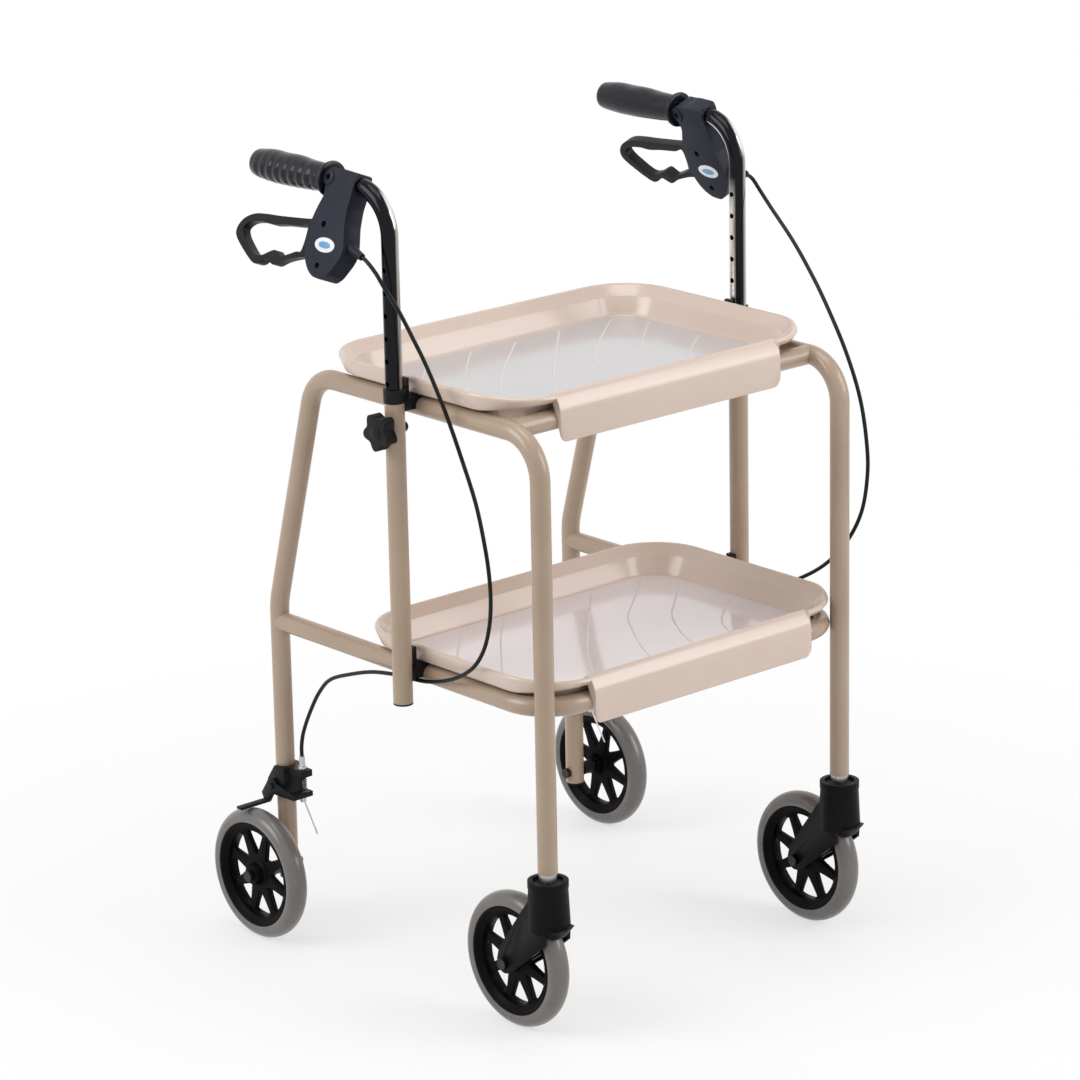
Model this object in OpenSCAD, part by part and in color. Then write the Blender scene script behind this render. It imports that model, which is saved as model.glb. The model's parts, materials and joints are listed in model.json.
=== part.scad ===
// Indoor trolley walker with two trays: a welded tube frame, height-adjustable handles with cable brakes,
// two swivel castors in front and two braked wheels behind.
// Millimetres. +Z up, floor at z = 0, front towards -Y, the user stands at +Y. Right is -X, left is +X.

/* [Frame] */
// Distance between the two side frames, axis to axis
frame_w = 444; // [420:2:500]
// Distance from the front legs to the rear legs, axis to axis
leg_span = 453; // [420:1:500]
// Outer diameter of the frame tubes
tube_d = 22; // [20:0.5:25]
// Wall thickness of the frame tubes
tube_wall = 1.5; // [1:0.1:2.5]
// Height of the top rails' axis
top_rail_z = 675; // [640:1:720]
// Height of the lower rails' axis
low_rail_z = 372; // [340:1:400]
// Bend radius between front leg and top rail
front_bend_r = 48; // [40:1:56]
// Bend radius between top rail and rear leg
rear_bend_r = 45; // [35:1:60]
// Bend radius of the knee in the rear leg
knee_bend_r = 80; // [60:1:110]
// Horizontal distance from the top rail's rear corner to the rear leg
rear_rake = 80; // [60:1:95]
// Height of the knee above the lower rail
knee_rise = 22; // [18:1:40]
// Distance of the top crossbar behind the front legs
crossbar_back = 48; // [44:1:60]
// Height of the front legs' lower ends
front_leg_end_z = 191; // [182:1:200]
// How far the rear legs reach below the wheel axle
rear_leg_drop = 13; // [9:0.5:20]
// Gap that the weld fills where two tubes meet
weld_gap = 0.1; // [0.05:0.05:0.3]

/* [Wheels] */
// Diameter of all four wheels
wheel_d = 154; // [134:1:160]
// Width of the tyres
tyre_w = 26; // [22:1:30]
// Thickness of the tyre over the rim
tyre_t = 15; // [12:1:18]
// Thickness of the rim under the tyre
rim_t = 10; // [7:0.5:12]
// Spokes in a wheel
spoke_count = 8; // [5:1:10]
// Thickness of a spoke at the rim, seen from the side
spoke_t = 7; // [5:0.5:10]
// Diameter of the hub's centre
hub_d = 30; // [24:1:36]
// Length of the hub along the axle
hub_len = 29; // [27:1:34]
// Diameter of the wheel axles
axle_d = 8; // [6:0.5:10]
// Distance of a rear wheel's middle outside the rear leg
rear_wheel_out = 42; // [38:1:50]
// Distance of a castor's axle behind its swivel axis
castor_trail = 52; // [46:1:56]

/* [Castors] */
// Diameter of the castor crown
crown_d = 43; // [38:1:48]
// Height of the crown
crown_h = 33; // [28:1:36]
// Gap between the crown and the front leg
crown_gap = 8; // [2:0.5:10]
// Diameter of the swivel stem inside the crown
stem_d = 12; // [10:0.5:16]
// Length of the stem plug inside the leg
stem_plug_len = 40; // [25:1:60]
// Thickness of a fork arm
fork_arm_t = 4.5; // [3:0.5:6]
// How far the fork's nose reaches in front of the swivel axis
fork_nose = 29; // [26:1:32]
// Height of the fork's bell, from the crown's top to its lower edge
bell_h = 56; // [50:1:60]
// Diameter of the bell's lower edge
bell_d = 48; // [46:1:50]
// Gap between the tyre and the fork above it
tyre_gap = 4; // [3:0.5:6]

/* [Handles] */
// Distance of the handle posts outside the side frames, axis to axis
post_out = 33; // [31:0.5:40]
// Distance of the handle posts behind the front legs
post_back = 196; // [160:1:220]
// Outer diameter of the handle posts
post_d = 19; // [16:0.5:19.5]
// Wall thickness of the handle posts
post_wall = 1.5; // [1:0.1:2.5]
// Height of the grips' axis above the floor
grip_z = 913; // [890:1:930]
// Bend radius at the top of a post
post_bend_r = 50; // [40:1:60]
// Length of a post inside its receiver
post_inside = 210; // [190:1:240]
// Distance between the height holes
hole_pitch = 25; // [20:1:30]
// Diameter of the height holes
hole_d = 6; // [4:0.5:7]
// Number of height holes
hole_count = 8; // [4:1:8]
// Outer diameter of the receivers
receiver_d = 22; // [21.5:0.5:24]
// Wall thickness of the receivers
receiver_wall = 1.2; // [0.9:0.1:1.2]
// How far the receivers hang below the lower rails
receiver_drop = 27; // [20:1:40]
// How far the receivers stand above the top rails
receiver_rise = 9; // [5:1:16]
// Height of the collar on a receiver
collar_h = 15; // [10:1:20]
// Height of the clamp knob below the top rail's axis
knob_drop = 20; // [20:1:30]

/* [Grips and levers] */
// Diameter of a grip
grip_d = 36; // [30:1:40]
// Length of a grip
grip_len = 128; // [110:1:134]
// Distance from the post axis to the front of the grip
grip_back = 93; // [93:1:104]
// Thickness of the grip's closed rear end
grip_cap = 9; // [6:1:12]
// Diameter of the grip's flange
flange_d = 40; // [37:1:40]
// Thickness of the grip's flange
flange_t = 4.5; // [3:0.5:6]
// Thickness of each half of the brake housing
housing_half = 12; // [10:0.5:14]
// Thickness of the brake lever
lever_t = 12; // [9:0.5:14]
// Outward tilt of the brake housings and levers about the grips' axes
brake_tilt = 22; // [0:1:24]
// Diameter of the lever's pin
lever_pin_d = 6; // [4:0.5:8]

/* [Brakes] */
// Diameter of the brake cables
cable_d = 4.5; // [4:0.5:6]
// Distance of the brake wire in front of the rear leg
wire_front = 31; // [29:0.5:36]
// Height of the brake arm's pin above the wheel
arm_pin_rise = 22; // [20:0.5:28]
// Gap between the brake bar and the tyre
bar_gap = 2; // [1.5:0.5:4]
// Thickness of the brake bracket's walls round the leg
bracket_wall = 4; // [3:0.5:6]
// Turns of the brake spring
spring_turns = 6; // [4:1:7]
// Wire diameter of the brake spring
spring_wire_d = 1.4; // [1:0.1:1.6]

/* [Trays] */
// Length of a tray from the front tube's axis to the rear rim
tray_len = 313; // [280:1:330]
// Thickness of the tray's floor and walls
tray_t = 3; // [2.5:0.25:4]
// Height of the rim above the tubes' axis
rim_z = 34; // [30:1:40]
// How far the rim overhangs the tubes' axis
rim_out = 12; // [8:0.5:12.5]
// Height of the ledge inside the rim above the tubes' axis
ledge_z = 24; // [22:0.5:25]
// Height of the outer skirt's lower edge above the tubes' axis
skirt_z = 14; // [13.5:0.5:18]
// Distance from the start of a tray's corner to the end of the front lip
lip_inset = 2; // [1:0.5:24]
// How far the lip hangs below the front tube's axis
lip_drop = 23; // [14:1:26]

/* [Fits] */
// Radial clearance of turning and sliding fits
run_gap = 0.05; // [0.02:0.01:0.09]
// Gap between faces of pieces that move past each other
face_gap = 0.5; // [0.3:0.1:1]

/* [Hidden] */
$fn = 48;
wheel_r = wheel_d / 2;
tube_r = tube_d / 2;
tube_in_r = tube_r - tube_wall;
half_w = frame_w / 2;

// The front and rear ends of the object lie equally far from y = 0
total_len = fork_nose + leg_span + wheel_r;
front_y = fork_nose - total_len / 2;
rear_y = front_y + leg_span;
post_x = half_w + post_out;
post_y = front_y + post_back;
post_r = post_d / 2;
receiver_r = receiver_d / 2;
receiver_in_r = receiver_r - receiver_wall;
receiver_top_z = top_rail_z + receiver_rise;
receiver_low_z = low_rail_z - receiver_drop;
collar_top_z = receiver_top_z + collar_h;
knob_z = top_rail_z - knob_drop;
post_low_z = receiver_top_z - post_inside;
grip_front_y = post_y + grip_back;
rear_wheel_x = half_w + rear_wheel_out;
knee_z = low_rail_z + knee_rise;
crossbar_y = front_y + crossbar_back;
corner_r = (tube_d + weld_gap) / (sqrt(2) - 1);

// Outline of a side frame in (y, z), from the front leg's end to the rear leg's end
SIDE_PATH = [
    [front_y, front_leg_end_z],
    [front_y, top_rail_z],
    [rear_y - rear_rake, top_rail_z],
    [rear_y, knee_z],
    [rear_y, wheel_r - rear_leg_drop]
];
SIDE_BENDS = [0, front_bend_r, rear_bend_r, knee_bend_r, 0];

// Outline of the lower tray frame in (x, y)
LOWER_PATH = [
    [-half_w, rear_y],
    [-half_w, front_y],
    [half_w, front_y],
    [half_w, rear_y]
];
LOWER_BENDS = [0, corner_r, corner_r, 0];

// Seam rings where a straight run of tube meets a bend
seam_gap = 0.1;
seam_len = 0.8;
seam_rise = 0.05;

// Outline of a handle post in (y, z)
POST_PATH = [
    [post_y, post_low_z],
    [post_y, grip_z],
    [grip_front_y + grip_len - grip_cap, grip_z]
];
POST_BENDS = [0, post_bend_r, 0];

// Saddle blocks between rails and receivers
saddle_h = 35;
saddle_low = -1;
saddle_w = 18;
strip_w = 9;
strip_gap = 4;
collar_r = receiver_r + 1;
collar_skirt = 12;
rivet_d = 6;
rivet_rise = 6;
bolt_gap = 0.1;

// Knob
knob_d = 42;
knob_h = 16;
knob_lobes = 5;
knob_lobe_d = 14;
knob_disc_d = 29;
knob_rest_angle = 14;
knob_neck_d = 20;
knob_neck_h = 2;
knob_screw_d = 8;
knob_face_x = post_x + receiver_r + face_gap;
cap_d = 13;

// Castor
crown_top_z = front_leg_end_z - crown_gap;
crown_low_z = crown_top_z - crown_h;
bell_low_z = crown_top_z - bell_h;
crown_band_h = 8;
crown_dish_h = 3;
crown_dish_r = tube_r + 6;
fork_gap = hub_len / 2 + 1;
fork_eye_r = 12;
fork_root = 13;
fork_overlap = 0.2;
nose_h = 12;
axle_head_d = 13;
axle_head_h = 5;

// One fork arm in (distance behind the swivel axis, height above the wheel axle)
FORK_ARM = [
    [-fork_root, bell_low_z - wheel_r + 2],
    [1 - fork_root, 36],
    [castor_trail - 21, 0],
    [castor_trail - 6, -10],
    [castor_trail + fork_eye_r, 2],
    [castor_trail + 9, 14],
    [castor_trail - 6, 36],
    [castor_trail - 24, 61],
    [fork_root + 4, 76],
    [fork_root - 4, crown_low_z - wheel_r + 12],
    [4 - fork_root, crown_low_z - wheel_r + 12]
];

// One gap between spokes in (distance from the axle, distance from the gap's middle)
gap_in = hub_d / 2 + 8;
gap_out = wheel_r - tyre_t - rim_t;
gap_half = gap_out * sin(180 / spoke_count) - spoke_t / 2;
SPOKE_GAP = [
    [gap_in, -2],
    [gap_out - 6, 1 - gap_half],
    [gap_out - 1.5, 4 - gap_half],
    [gap_out, 0],
    [gap_out - 1.5, gap_half - 4],
    [gap_out - 6, gap_half - 1],
    [gap_in, 2]
];

// Brake at a rear wheel
arm_pin_y = rear_y + 2;
arm_pin_z = wheel_d + arm_pin_rise;
arm_pin_d = 7;
bracket_half = tube_r + bracket_wall;
bracket_low_z = arm_pin_z - 12;
bracket_h = 36;
bracket_cut_back = 2;
bracket_cut_slope = 55;
bracket_top_z = bracket_low_z + bracket_h;
ear_t = 8;
ear_half = 8;
arm_t = 3;
arm_x = half_w + bracket_half + 2;
arm_lug_h = 6;
arm_lug_z = wheel_d + 14;
adjuster_d = 7;
adjuster_rise = 16;
wire_d = 1.6;
wire_tail_len = 44;
wire_tail_slant = 33;
wire_slack = 4.5;
pinch_h = 7;
pinch_d = 7;
bracket_screw_d = 9;
bracket_screw_h = 3;
bracket_screw_in = 8;
bar_w = 9;
bar_t = 3;
bar_over = 5;
bar_back = 12;
bar_z = wheel_r + sqrt(wheel_r * wheel_r - bar_back * bar_back) + bar_gap;
wire_y = rear_y - wire_front;
spring_low_z = arm_lug_z + arm_lug_h + face_gap;
spring_top_z = bracket_top_z - ear_t - face_gap;
spring_r = 4.2;

// Brake housing and lever in the plane of the lever, as distances behind the handle post's axis and above
// the grip's axis
HOUSING = [
    [50, 12], [68, 13], [75, 12], [83, 13], [90, 9], [92, 2], [88, -10], [86, -18], [92, -34], [95.5, -48],
    [96.5, -64], [93.5, -80], [88.5, -91], [81, -100], [71, -106], [56, -107.5], [47, -101], [36, -84],
    [32.5, -74], [34, -66], [41.5, -44], [45, -26], [49, -11]
];
LEVER_PIN = [74, -49];
LEVER_OUTER = [
    [64, -54], [64, -44], [70, -39.5], [80, -39], [90, -41], [100, -46], [150, -51], [180, -53], [199, -56],
    [214, -64], [221, -76], [215, -87], [184, -106], [171, -107], [160, -100], [145, -104.5], [130, -97],
    [109, -90], [93, -87], [84, -80], [72, -62]
];
LEVER_INNER = [
    [106, -54], [120, -57], [145, -59.5], [165, -62.5], [182, -62], [200, -65], [210, -72], [209, -78],
    [200, -86], [181, -98], [168, -97], [158, -92], [149, -88.5], [142, -92], [137, -94], [126, -89.5],
    [114, -84.5], [106, -81]
];
POCKET = [
    [60, -36], [74, -33], [90, -31], [108, -29], [125, -29], [125, -96], [104, -95], [88, -89], [78, -84],
    [66, -66], [60, -56]
];
pocket_r = 15;
pocket_half = lever_t / 2 + face_gap;
lever_hub_r = 12;
housing_screw_d = 5;
CLAMP_SCREW = [83.5, 9];
BODY_SCREW = [67, -93.5];
clamp_screw_in = post_r - 1.5;
nozzle_d = 9;
nozzle_len = 26;
NOZZLE = [38, -66.5];
nozzle_slant = 15;

// Tray section in (distance outside the corner centre, height above the tubes' axis). The corner is round
// enough for the rim to pass the front leg.
leg_room = 0.9;
tray_corner_r = (tube_r + rim_out + leg_room) / (sqrt(2) - 1);
lip_w = 2 * (half_w - tray_corner_r - lip_inset);
rim_r = tray_corner_r + rim_out;
floor_r = tray_corner_r - tube_r - 2;
TRAY_WALL = [
    [floor_r - 4, -tray_t + 0.5],
    [floor_r, -tray_t + 0.5],
    [floor_r + 2.5, 4.5],
    [floor_r + 9.5, ledge_z - tray_t - 1],
    [floor_r + 12.5, ledge_z - tray_t],
    [rim_r - 5, rim_z - 5],
    [rim_r - 3, rim_z - 5],
    [rim_r - 8.6, skirt_z],
    [rim_r - 6, skirt_z],
    [rim_r, rim_z - 4],
    [rim_r - 0.8, rim_z - 1.2],
    [rim_r - 2.6, rim_z],
    [rim_r - 4.4, rim_z - 1],
    [floor_r + 10.5, ledge_z],
    [floor_r + 8, ledge_z - 1],
    [floor_r + 2.2 - tray_t, 4.5],
    [floor_r - 1 - tray_t, 0.5]
];
lip_front = tube_r + 4.5;
LIP = [
    [tray_corner_r - floor_r + 4, -tray_t + 0.5],
    [tray_corner_r - floor_r, -tray_t + 0.5],
    [tube_r + 0.8, 4.5],
    [tube_r - 7, 20],
    [-3, 25],
    [tray_t - lip_front + 0.8, 13],
    [tray_t - lip_front, -lip_drop],
    [-lip_front, -lip_drop],
    [-lip_front + 0.7, 14.5],
    [-6, 27.5],
    [-3, 29],
    [0, 28.2],
    [tube_r - 4.6, 21.5],
    [tube_r + 3.2, 5],
    [tray_corner_r - floor_r + 5, 0.5]
];

// Cable routes, with points given from the handle, the front of the top rail, the lower rail beside the
// handle post and the brake
function from_handle(p) = [post_x + p[0], post_y + p[1], grip_z + p[2]];
function from_top_rail(p) = [half_w + p[0], front_y + p[1], top_rail_z + p[2]];
function from_low_rail(p) = [half_w + p[0], post_y + p[1], low_rail_z + p[2]];
function from_brake(p) = [half_w + p[0], wire_y + p[1], bracket_top_z + p[2]];
function on_right(route) = [for (p = route) [-p[0], p[1], p[2]]];
nozzle_end_y = NOZZLE[0] - nozzle_len * cos(nozzle_slant) - face_gap;
nozzle_end_z = NOZZLE[1] - nozzle_len * sin(nozzle_slant);
LOW_CABLE = concat(
    [for (p = [[16.5, -23.5, -2], [16.5, 0.5, -5], [16, 28.5, -7], [14, 74.5, -15], [11, 118.5, -29]])
        from_low_rail(p)],
    [for (p = [[7, -66.5, 126], [4, -41.5, 104], [2, -21.5, 76], [0, -5.5, 48], [0, -0.5, 30]])
        from_brake(p)],
    [from_brake([0, 0, adjuster_rise + face_gap])]
);
NOZZLE_END = [-nozzle_end_z * sin(brake_tilt), nozzle_end_y, nozzle_end_z * cos(brake_tilt)];
RIGHT_CABLE = on_right(concat(
    [from_handle(NOZZLE_END)],
    [for (p = [[28, 4, -71.5], [27, -8, -81.5], [26, -18.5, -93.5], [20, -35, -118], [10, -47, -150]])
        from_handle(p)],
    [for (p = [[32.5, 139, 55], [22, 123.5, 6.5], [21, 101, -38.5], [21, 79.5, -84], [21, 66, -131]])
        from_top_rail(p)],
    [for (p = [[21, -135.5, 140], [21, -136.5, 112.5], [21, -133, 86], [21, -123.5, 59], [21, -106.5, 36]])
        from_low_rail(p)],
    [for (p = [[19.5, -80, 18], [18, -52, 6]])
        from_low_rail(p)],
    LOW_CABLE
));
LEFT_CABLE = concat(
    [from_handle(NOZZLE_END)],
    [for (p = [[28, 4, -71.5], [28, -7, -82], [25.5, -29, -100], [16.5, -72, -128.5]])
        from_handle(p)],
    [for (p = [[38.5, 84.5, 81], [28.5, 50, 52], [21, 11, 5], [21, -11.5, -46], [21, -22, -99]])
        from_top_rail(p)],
    [for (p = [[21, -218, 167], [21, -209.5, 128], [21, -190, 93], [20.5, -163, 63], [20, -130.5, 39]])
        from_low_rail(p)],
    [for (p = [[19, -85.5, 16], [17, -35.5, 1]])
        from_low_rail(p)],
    [for (k = [1 : len(LOW_CABLE) - 1]) LOW_CABLE[k]]
);
cable_steps = 3;
cable_sides = 8;

PAINT = [0.62, 0.56, 0.49];
TRAY = [0.86, 0.78, 0.72];
BLACK = [0.11, 0.11, 0.12];
CHROME = [0.78, 0.79, 0.8];
STEEL = [0.6, 0.6, 0.61];
TYRE = [0.48, 0.47, 0.46];

// Shared helpers

function unit(v) = v / norm(v);
function heading(a, b) = atan2(b[1] - a[1], b[0] - a[0]);
function wrap(a) = a > 180 ? a - 360 : a < -180 ? a + 360 : a;
function corner_turn(p, i) = wrap(heading(p[i], p[i + 1]) - heading(p[i - 1], p[i]));
function trim(p, bends, i) = i == 0 || i == len(p) - 1 ? 0 : bends[i] * tan(abs(corner_turn(p, i)) / 2);

// A round bar of radius r along a path in the XY plane, each corner bent to its radius, ends longer by extra.
// A low seam ring bridges a straight run and the bend it meets.
module bent_bar(p, bends, r, extra = 0) {
    last = len(p) - 1;
    for (i = [0 : last - 1]) {
        dir = unit(p[i + 1] - p[i]);
        start = trim(p, bends, i) + (i == 0 ? -extra : seam_gap);
        stop = trim(p, bends, i + 1) + (i + 1 == last ? -extra : seam_gap);
        along_path(p[i] + dir * start, dir)
            cylinder(h = norm(p[i + 1] - p[i]) - start - stop, r = r);
    }
    for (i = [1 : last - 1]) {
        turn = corner_turn(p, i);
        side = turn > 0 ? 1 : -1;
        dir_in = unit(p[i] - p[i - 1]);
        dir_out = unit(p[i + 1] - p[i]);
        entry = heading(p[i - 1], p[i]);
        first = p[i] - dir_in * trim(p, bends, i);
        centre = first + bends[i] * side * [-sin(entry), cos(entry)];
        translate(concat(centre, 0))
            rotate([0, 0, turn > 0 ? entry - 90 : entry + turn + 90])
            rotate_extrude(angle = abs(turn))
            translate([bends[i], 0])
            circle(r = r);
        along_path(first, dir_in)
            cylinder(h = seam_len, r = r + seam_rise, center = true);
        along_path(p[i] + dir_out * trim(p, bends, i), dir_out)
            cylinder(h = seam_len, r = r + seam_rise, center = true);
    }
}

// Turns a drawing along Z to lie along a direction in the XY plane
module along_path(point, dir) {
    translate(concat(point, 0))
        rotate([0, 0, atan2(dir[1], dir[0])])
        rotate([0, 90, 0])
        children();
}

// Turns a drawing in (y, z) to stand upright at x
module upright(x) {
    translate([x, 0, 0])
        rotate([90, 0, 90])
        children();
}

// Draws the left side's piece, mirrored for the right side
module on_side(side) {
    mirror([side < 0 ? 1 : 0, 0, 0])
        children();
}

module on_both_sides() {
    for (side = [-1, 1])
        on_side(side)
            children();
}

// A cylinder along X from x0 to x1
module x_bar(x0, x1, y, z, d) {
    translate([x0, y, z])
        rotate([0, 90, 0])
        cylinder(h = x1 - x0, d = d);
}

// A hexagon nut or head along X
module x_hex(x0, x1, y, z, d) {
    translate([x0, y, z])
        rotate([0, 90, 0])
        cylinder(h = x1 - x0, d = d, $fn = 6);
}

// Points on a smooth curve through p, with steps points between two of them
function curve_point(a, b, c, d, t) =
    0.5 * (2 * b + (c - a) * t + (2 * a - 5 * b + 4 * c - d) * t * t + (3 * b - a - 3 * c + d) * t * t * t);
function curve(p, steps) = concat(
    [for (i = [0 : len(p) - 2], k = [0 : steps - 1])
        curve_point(p[max(i - 1, 0)], p[i], p[i + 1], p[min(i + 2, len(p) - 1)], k / steps)],
    [p[len(p) - 1]]
);
function tangent(p, i) = unit(p[min(i + 1, len(p) - 1)] - p[max(i - 1, 0)]);
function route_length(p, i = 0) = i >= len(p) - 1 ? 0 : norm(p[i + 1] - p[i]) + route_length(p, i + 1);

// One closed tube of triangles round the points of p, none of which heads along the given reference
module swept_tube(p, r, sides, reference) {
    rings = [for (i = [0 : len(p) - 1])
        let (t = tangent(p, i), u = unit(reference - (reference * t) * t), v = cross(t, u))
        [for (k = [0 : sides - 1]) p[i] + r * (cos(360 * k / sides) * u + sin(360 * k / sides) * v)]];
    points = [for (ring = rings, q = ring) q];
    last = (len(p) - 1) * sides;
    walls = [for (i = [0 : len(p) - 2], k = [0 : sides - 1])
        let (a = i * sides + k, b = i * sides + (k + 1) % sides)
        each [[a, b + sides, b], [a, a + sides, b + sides]]];
    start_cap = [for (k = [1 : sides - 2]) [0, k, k + 1]];
    end_cap = [for (k = [1 : sides - 2]) [last, last + k + 1, last + k]];
    polyhedron(points, concat(walls, start_cap, end_cap));
}

// Frame

module side_bar(r, extra = 0) {
    upright(half_w)
        bent_bar(SIDE_PATH, SIDE_BENDS, r, extra);
}

module side_frame() {
    color(PAINT)
        difference() {
            side_bar(tube_r);
            side_bar(tube_in_r, 1);
            x_bar(half_w - tube_d, half_w + tube_d, rear_y, wheel_r, axle_d + 2 * bolt_gap);
            rivet_hole(top_rail_z);
        }
}

// A saddle's rivet goes through the rail's outer wall, the saddle and the receiver's inner wall
module rivet_hole(z) {
    x_bar(half_w, post_x - receiver_in_r + 1, post_y, z + rivet_rise, rivet_d + 2 * bolt_gap);
}

module top_crossbar() {
    color(PAINT)
        difference() {
            x_bar(-half_w, half_w, crossbar_y, top_rail_z, tube_d);
            x_bar(-half_w - 1, half_w + 1, crossbar_y, top_rail_z, 2 * tube_in_r);
            on_both_sides()
                side_bar(tube_r + weld_gap);
        }
}

module lower_tray_frame() {
    color(PAINT)
        difference() {
            translate([0, 0, low_rail_z])
                bent_bar(LOWER_PATH, LOWER_BENDS, tube_r);
            translate([0, 0, low_rail_z])
                bent_bar(LOWER_PATH, LOWER_BENDS, tube_in_r, 1);
            on_both_sides() {
                translate([half_w, rear_y, low_rail_z - tube_d])
                    cylinder(h = 2 * tube_d, r = tube_r + weld_gap);
                rivet_hole(low_rail_z);
            }
        }
}

module handle_receiver() {
    color(PAINT)
        difference() {
            translate([post_x, post_y, receiver_low_z])
                cylinder(h = receiver_top_z - receiver_low_z, r = receiver_r);
            translate([post_x, post_y, receiver_low_z - 1])
                cylinder(h = receiver_top_z - receiver_low_z + 2, r = receiver_in_r);
            x_bar(post_x, post_x + receiver_d, post_y, knob_z, knob_screw_d + 2 * run_gap);
            for (z = [top_rail_z, low_rail_z])
                rivet_hole(z);
        }
}

module saddle(z) {
    block_x = half_w + 1;
    strip_x = half_w + rim_out + strip_gap;
    difference() {
        union() {
            translate([strip_x, post_y - strip_w / 2, z + saddle_low])
                cube([post_x - strip_x, strip_w, saddle_h]);
            translate([block_x, post_y - saddle_w / 2, z + saddle_low])
                cube([post_x - block_x, saddle_w, tube_r + 1 - saddle_low]);
        }
        translate([half_w, post_y - saddle_w, z])
            rotate([-90, 0, 0])
            cylinder(h = 2 * saddle_w, r = tube_r + weld_gap);
        translate([post_x, post_y, z - saddle_h])
            cylinder(h = 3 * saddle_h, r = receiver_r + weld_gap);
        translate([post_x, post_y, receiver_top_z - face_gap])
            cylinder(h = 2 * saddle_h, r = collar_r + face_gap);
        rivet_hole(z);
    }
}

module receiver_saddles() {
    color(BLACK)
        on_both_sides()
        for (z = [top_rail_z, low_rail_z])
            saddle(z);
}

module saddle_rivets() {
    color(STEEL)
        on_both_sides()
        for (z = [top_rail_z + rivet_rise, low_rail_z + rivet_rise])
            x_bar(half_w + 1, post_x - receiver_in_r - face_gap, post_y, z, rivet_d);
}

module receiver_collars() {
    color(BLACK)
        on_both_sides()
        translate([post_x, post_y, 0])
        difference() {
            union() {
                translate([0, 0, receiver_top_z])
                    cylinder(h = collar_h, r = collar_r);
                translate([0, 0, receiver_top_z - collar_skirt])
                    cylinder(h = collar_skirt, r = receiver_in_r);
            }
            translate([0, 0, receiver_top_z - 2 * collar_skirt])
                cylinder(h = 4 * collar_skirt, r = post_r + run_gap);
        }
}

module end_plug(r_in, r_out) {
    plug_len = 14;
    flange_t = 2;
    translate([0, 0, -flange_t])
        cylinder(h = flange_t, r = r_out);
    cylinder(h = plug_len, r = r_in);
}

module tube_end_plugs() {
    color(BLACK)
        on_both_sides() {
            translate([post_x, post_y, receiver_low_z])
                end_plug(receiver_in_r, receiver_r);
            difference() {
                translate([half_w, rear_y, wheel_r - rear_leg_drop])
                    end_plug(tube_in_r, tube_r);
                x_bar(half_w - tube_d, half_w + tube_d, rear_y, wheel_r, axle_d + 2 * bolt_gap);
            }
        }
}

module knob_end_caps() {
    cap_x = post_x - receiver_r;
    color(BLACK)
        on_both_sides()
        difference() {
            translate([cap_x + 1, post_y, knob_z])
                sphere(d = cap_d);
            translate([post_x, post_y, knob_z - cap_d])
                cylinder(h = 2 * cap_d, r = receiver_r + weld_gap);
        }
}

// Wheels

// The tyre's section is a circle that the rim cuts off
module tyre() {
    rotate([0, 90, 0])
        rotate_extrude()
        difference() {
            translate([wheel_r - tyre_w / 2, 0])
                circle(d = tyre_w);
            translate([0, -tyre_w])
                square([wheel_r - tyre_t, 2 * tyre_w]);
        }
}

module hub() {
    rim_r_out = wheel_r - tyre_t;
    rim_w = tyre_w - 3;
    web_w = rim_w - 7;
    rotate([0, 90, 0])
        difference() {
            union() {
                difference() {
                    cylinder(h = rim_w, r = rim_r_out, center = true);
                    cylinder(h = 2 * rim_w, r = gap_out, center = true);
                }
                cylinder(h = web_w, r = rim_r_out - rim_t / 2, center = true);
                cylinder(h = hub_len, d = hub_d, center = true);
            }
            for (k = [0 : spoke_count - 1])
                rotate([0, 0, 360 * k / spoke_count])
                    translate([0, 0, -rim_w])
                    linear_extrude(2 * rim_w)
                    polygon(SPOKE_GAP);
            cylinder(h = 2 * hub_len, r = axle_d / 2 + run_gap, center = true);
        }
}

module at_rear_wheel() {
    translate([rear_wheel_x, rear_y, wheel_r])
        children();
}

module at_castor_wheel() {
    translate([half_w, front_y + castor_trail, wheel_r])
        children();
}

module rear_axles() {
    spacer_x = half_w + tube_r + bolt_gap;
    hub_in_x = rear_wheel_x - hub_len / 2 - face_gap;
    hub_out_x = rear_wheel_x + hub_len / 2 + face_gap;
    nut_x = half_w - tube_r - bolt_gap;
    color(STEEL)
        on_both_sides() {
            x_bar(nut_x - axle_head_h, hub_out_x, rear_y, wheel_r, axle_d);
            x_bar(spacer_x, hub_in_x, rear_y, wheel_r, axle_d * 2);
            x_bar(hub_out_x, hub_out_x + axle_head_h, rear_y, wheel_r, axle_head_d);
            x_hex(nut_x - axle_head_h, nut_x, rear_y, wheel_r, axle_head_d);
        }
}

// Castors

module castor_stems() {
    color(STEEL)
        on_both_sides()
        translate([half_w, front_y, 0]) {
            translate([0, 0, front_leg_end_z])
                cylinder(h = stem_plug_len, r = tube_in_r - bolt_gap);
            translate([0, 0, crown_top_z + face_gap])
                cylinder(h = front_leg_end_z - crown_top_z - face_gap, r = tube_r - 1);
            translate([0, 0, crown_low_z])
                cylinder(h = front_leg_end_z - crown_low_z, d = stem_d);
        }
}

module fork_arm() {
    upright(fork_gap - fork_overlap)
        translate([0, wheel_r])
        linear_extrude(fork_arm_t + fork_overlap)
        polygon(FORK_ARM);
    x_bar(fork_gap - fork_overlap, fork_gap + fork_arm_t, castor_trail, wheel_r, 2 * fork_eye_r);
}

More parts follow.
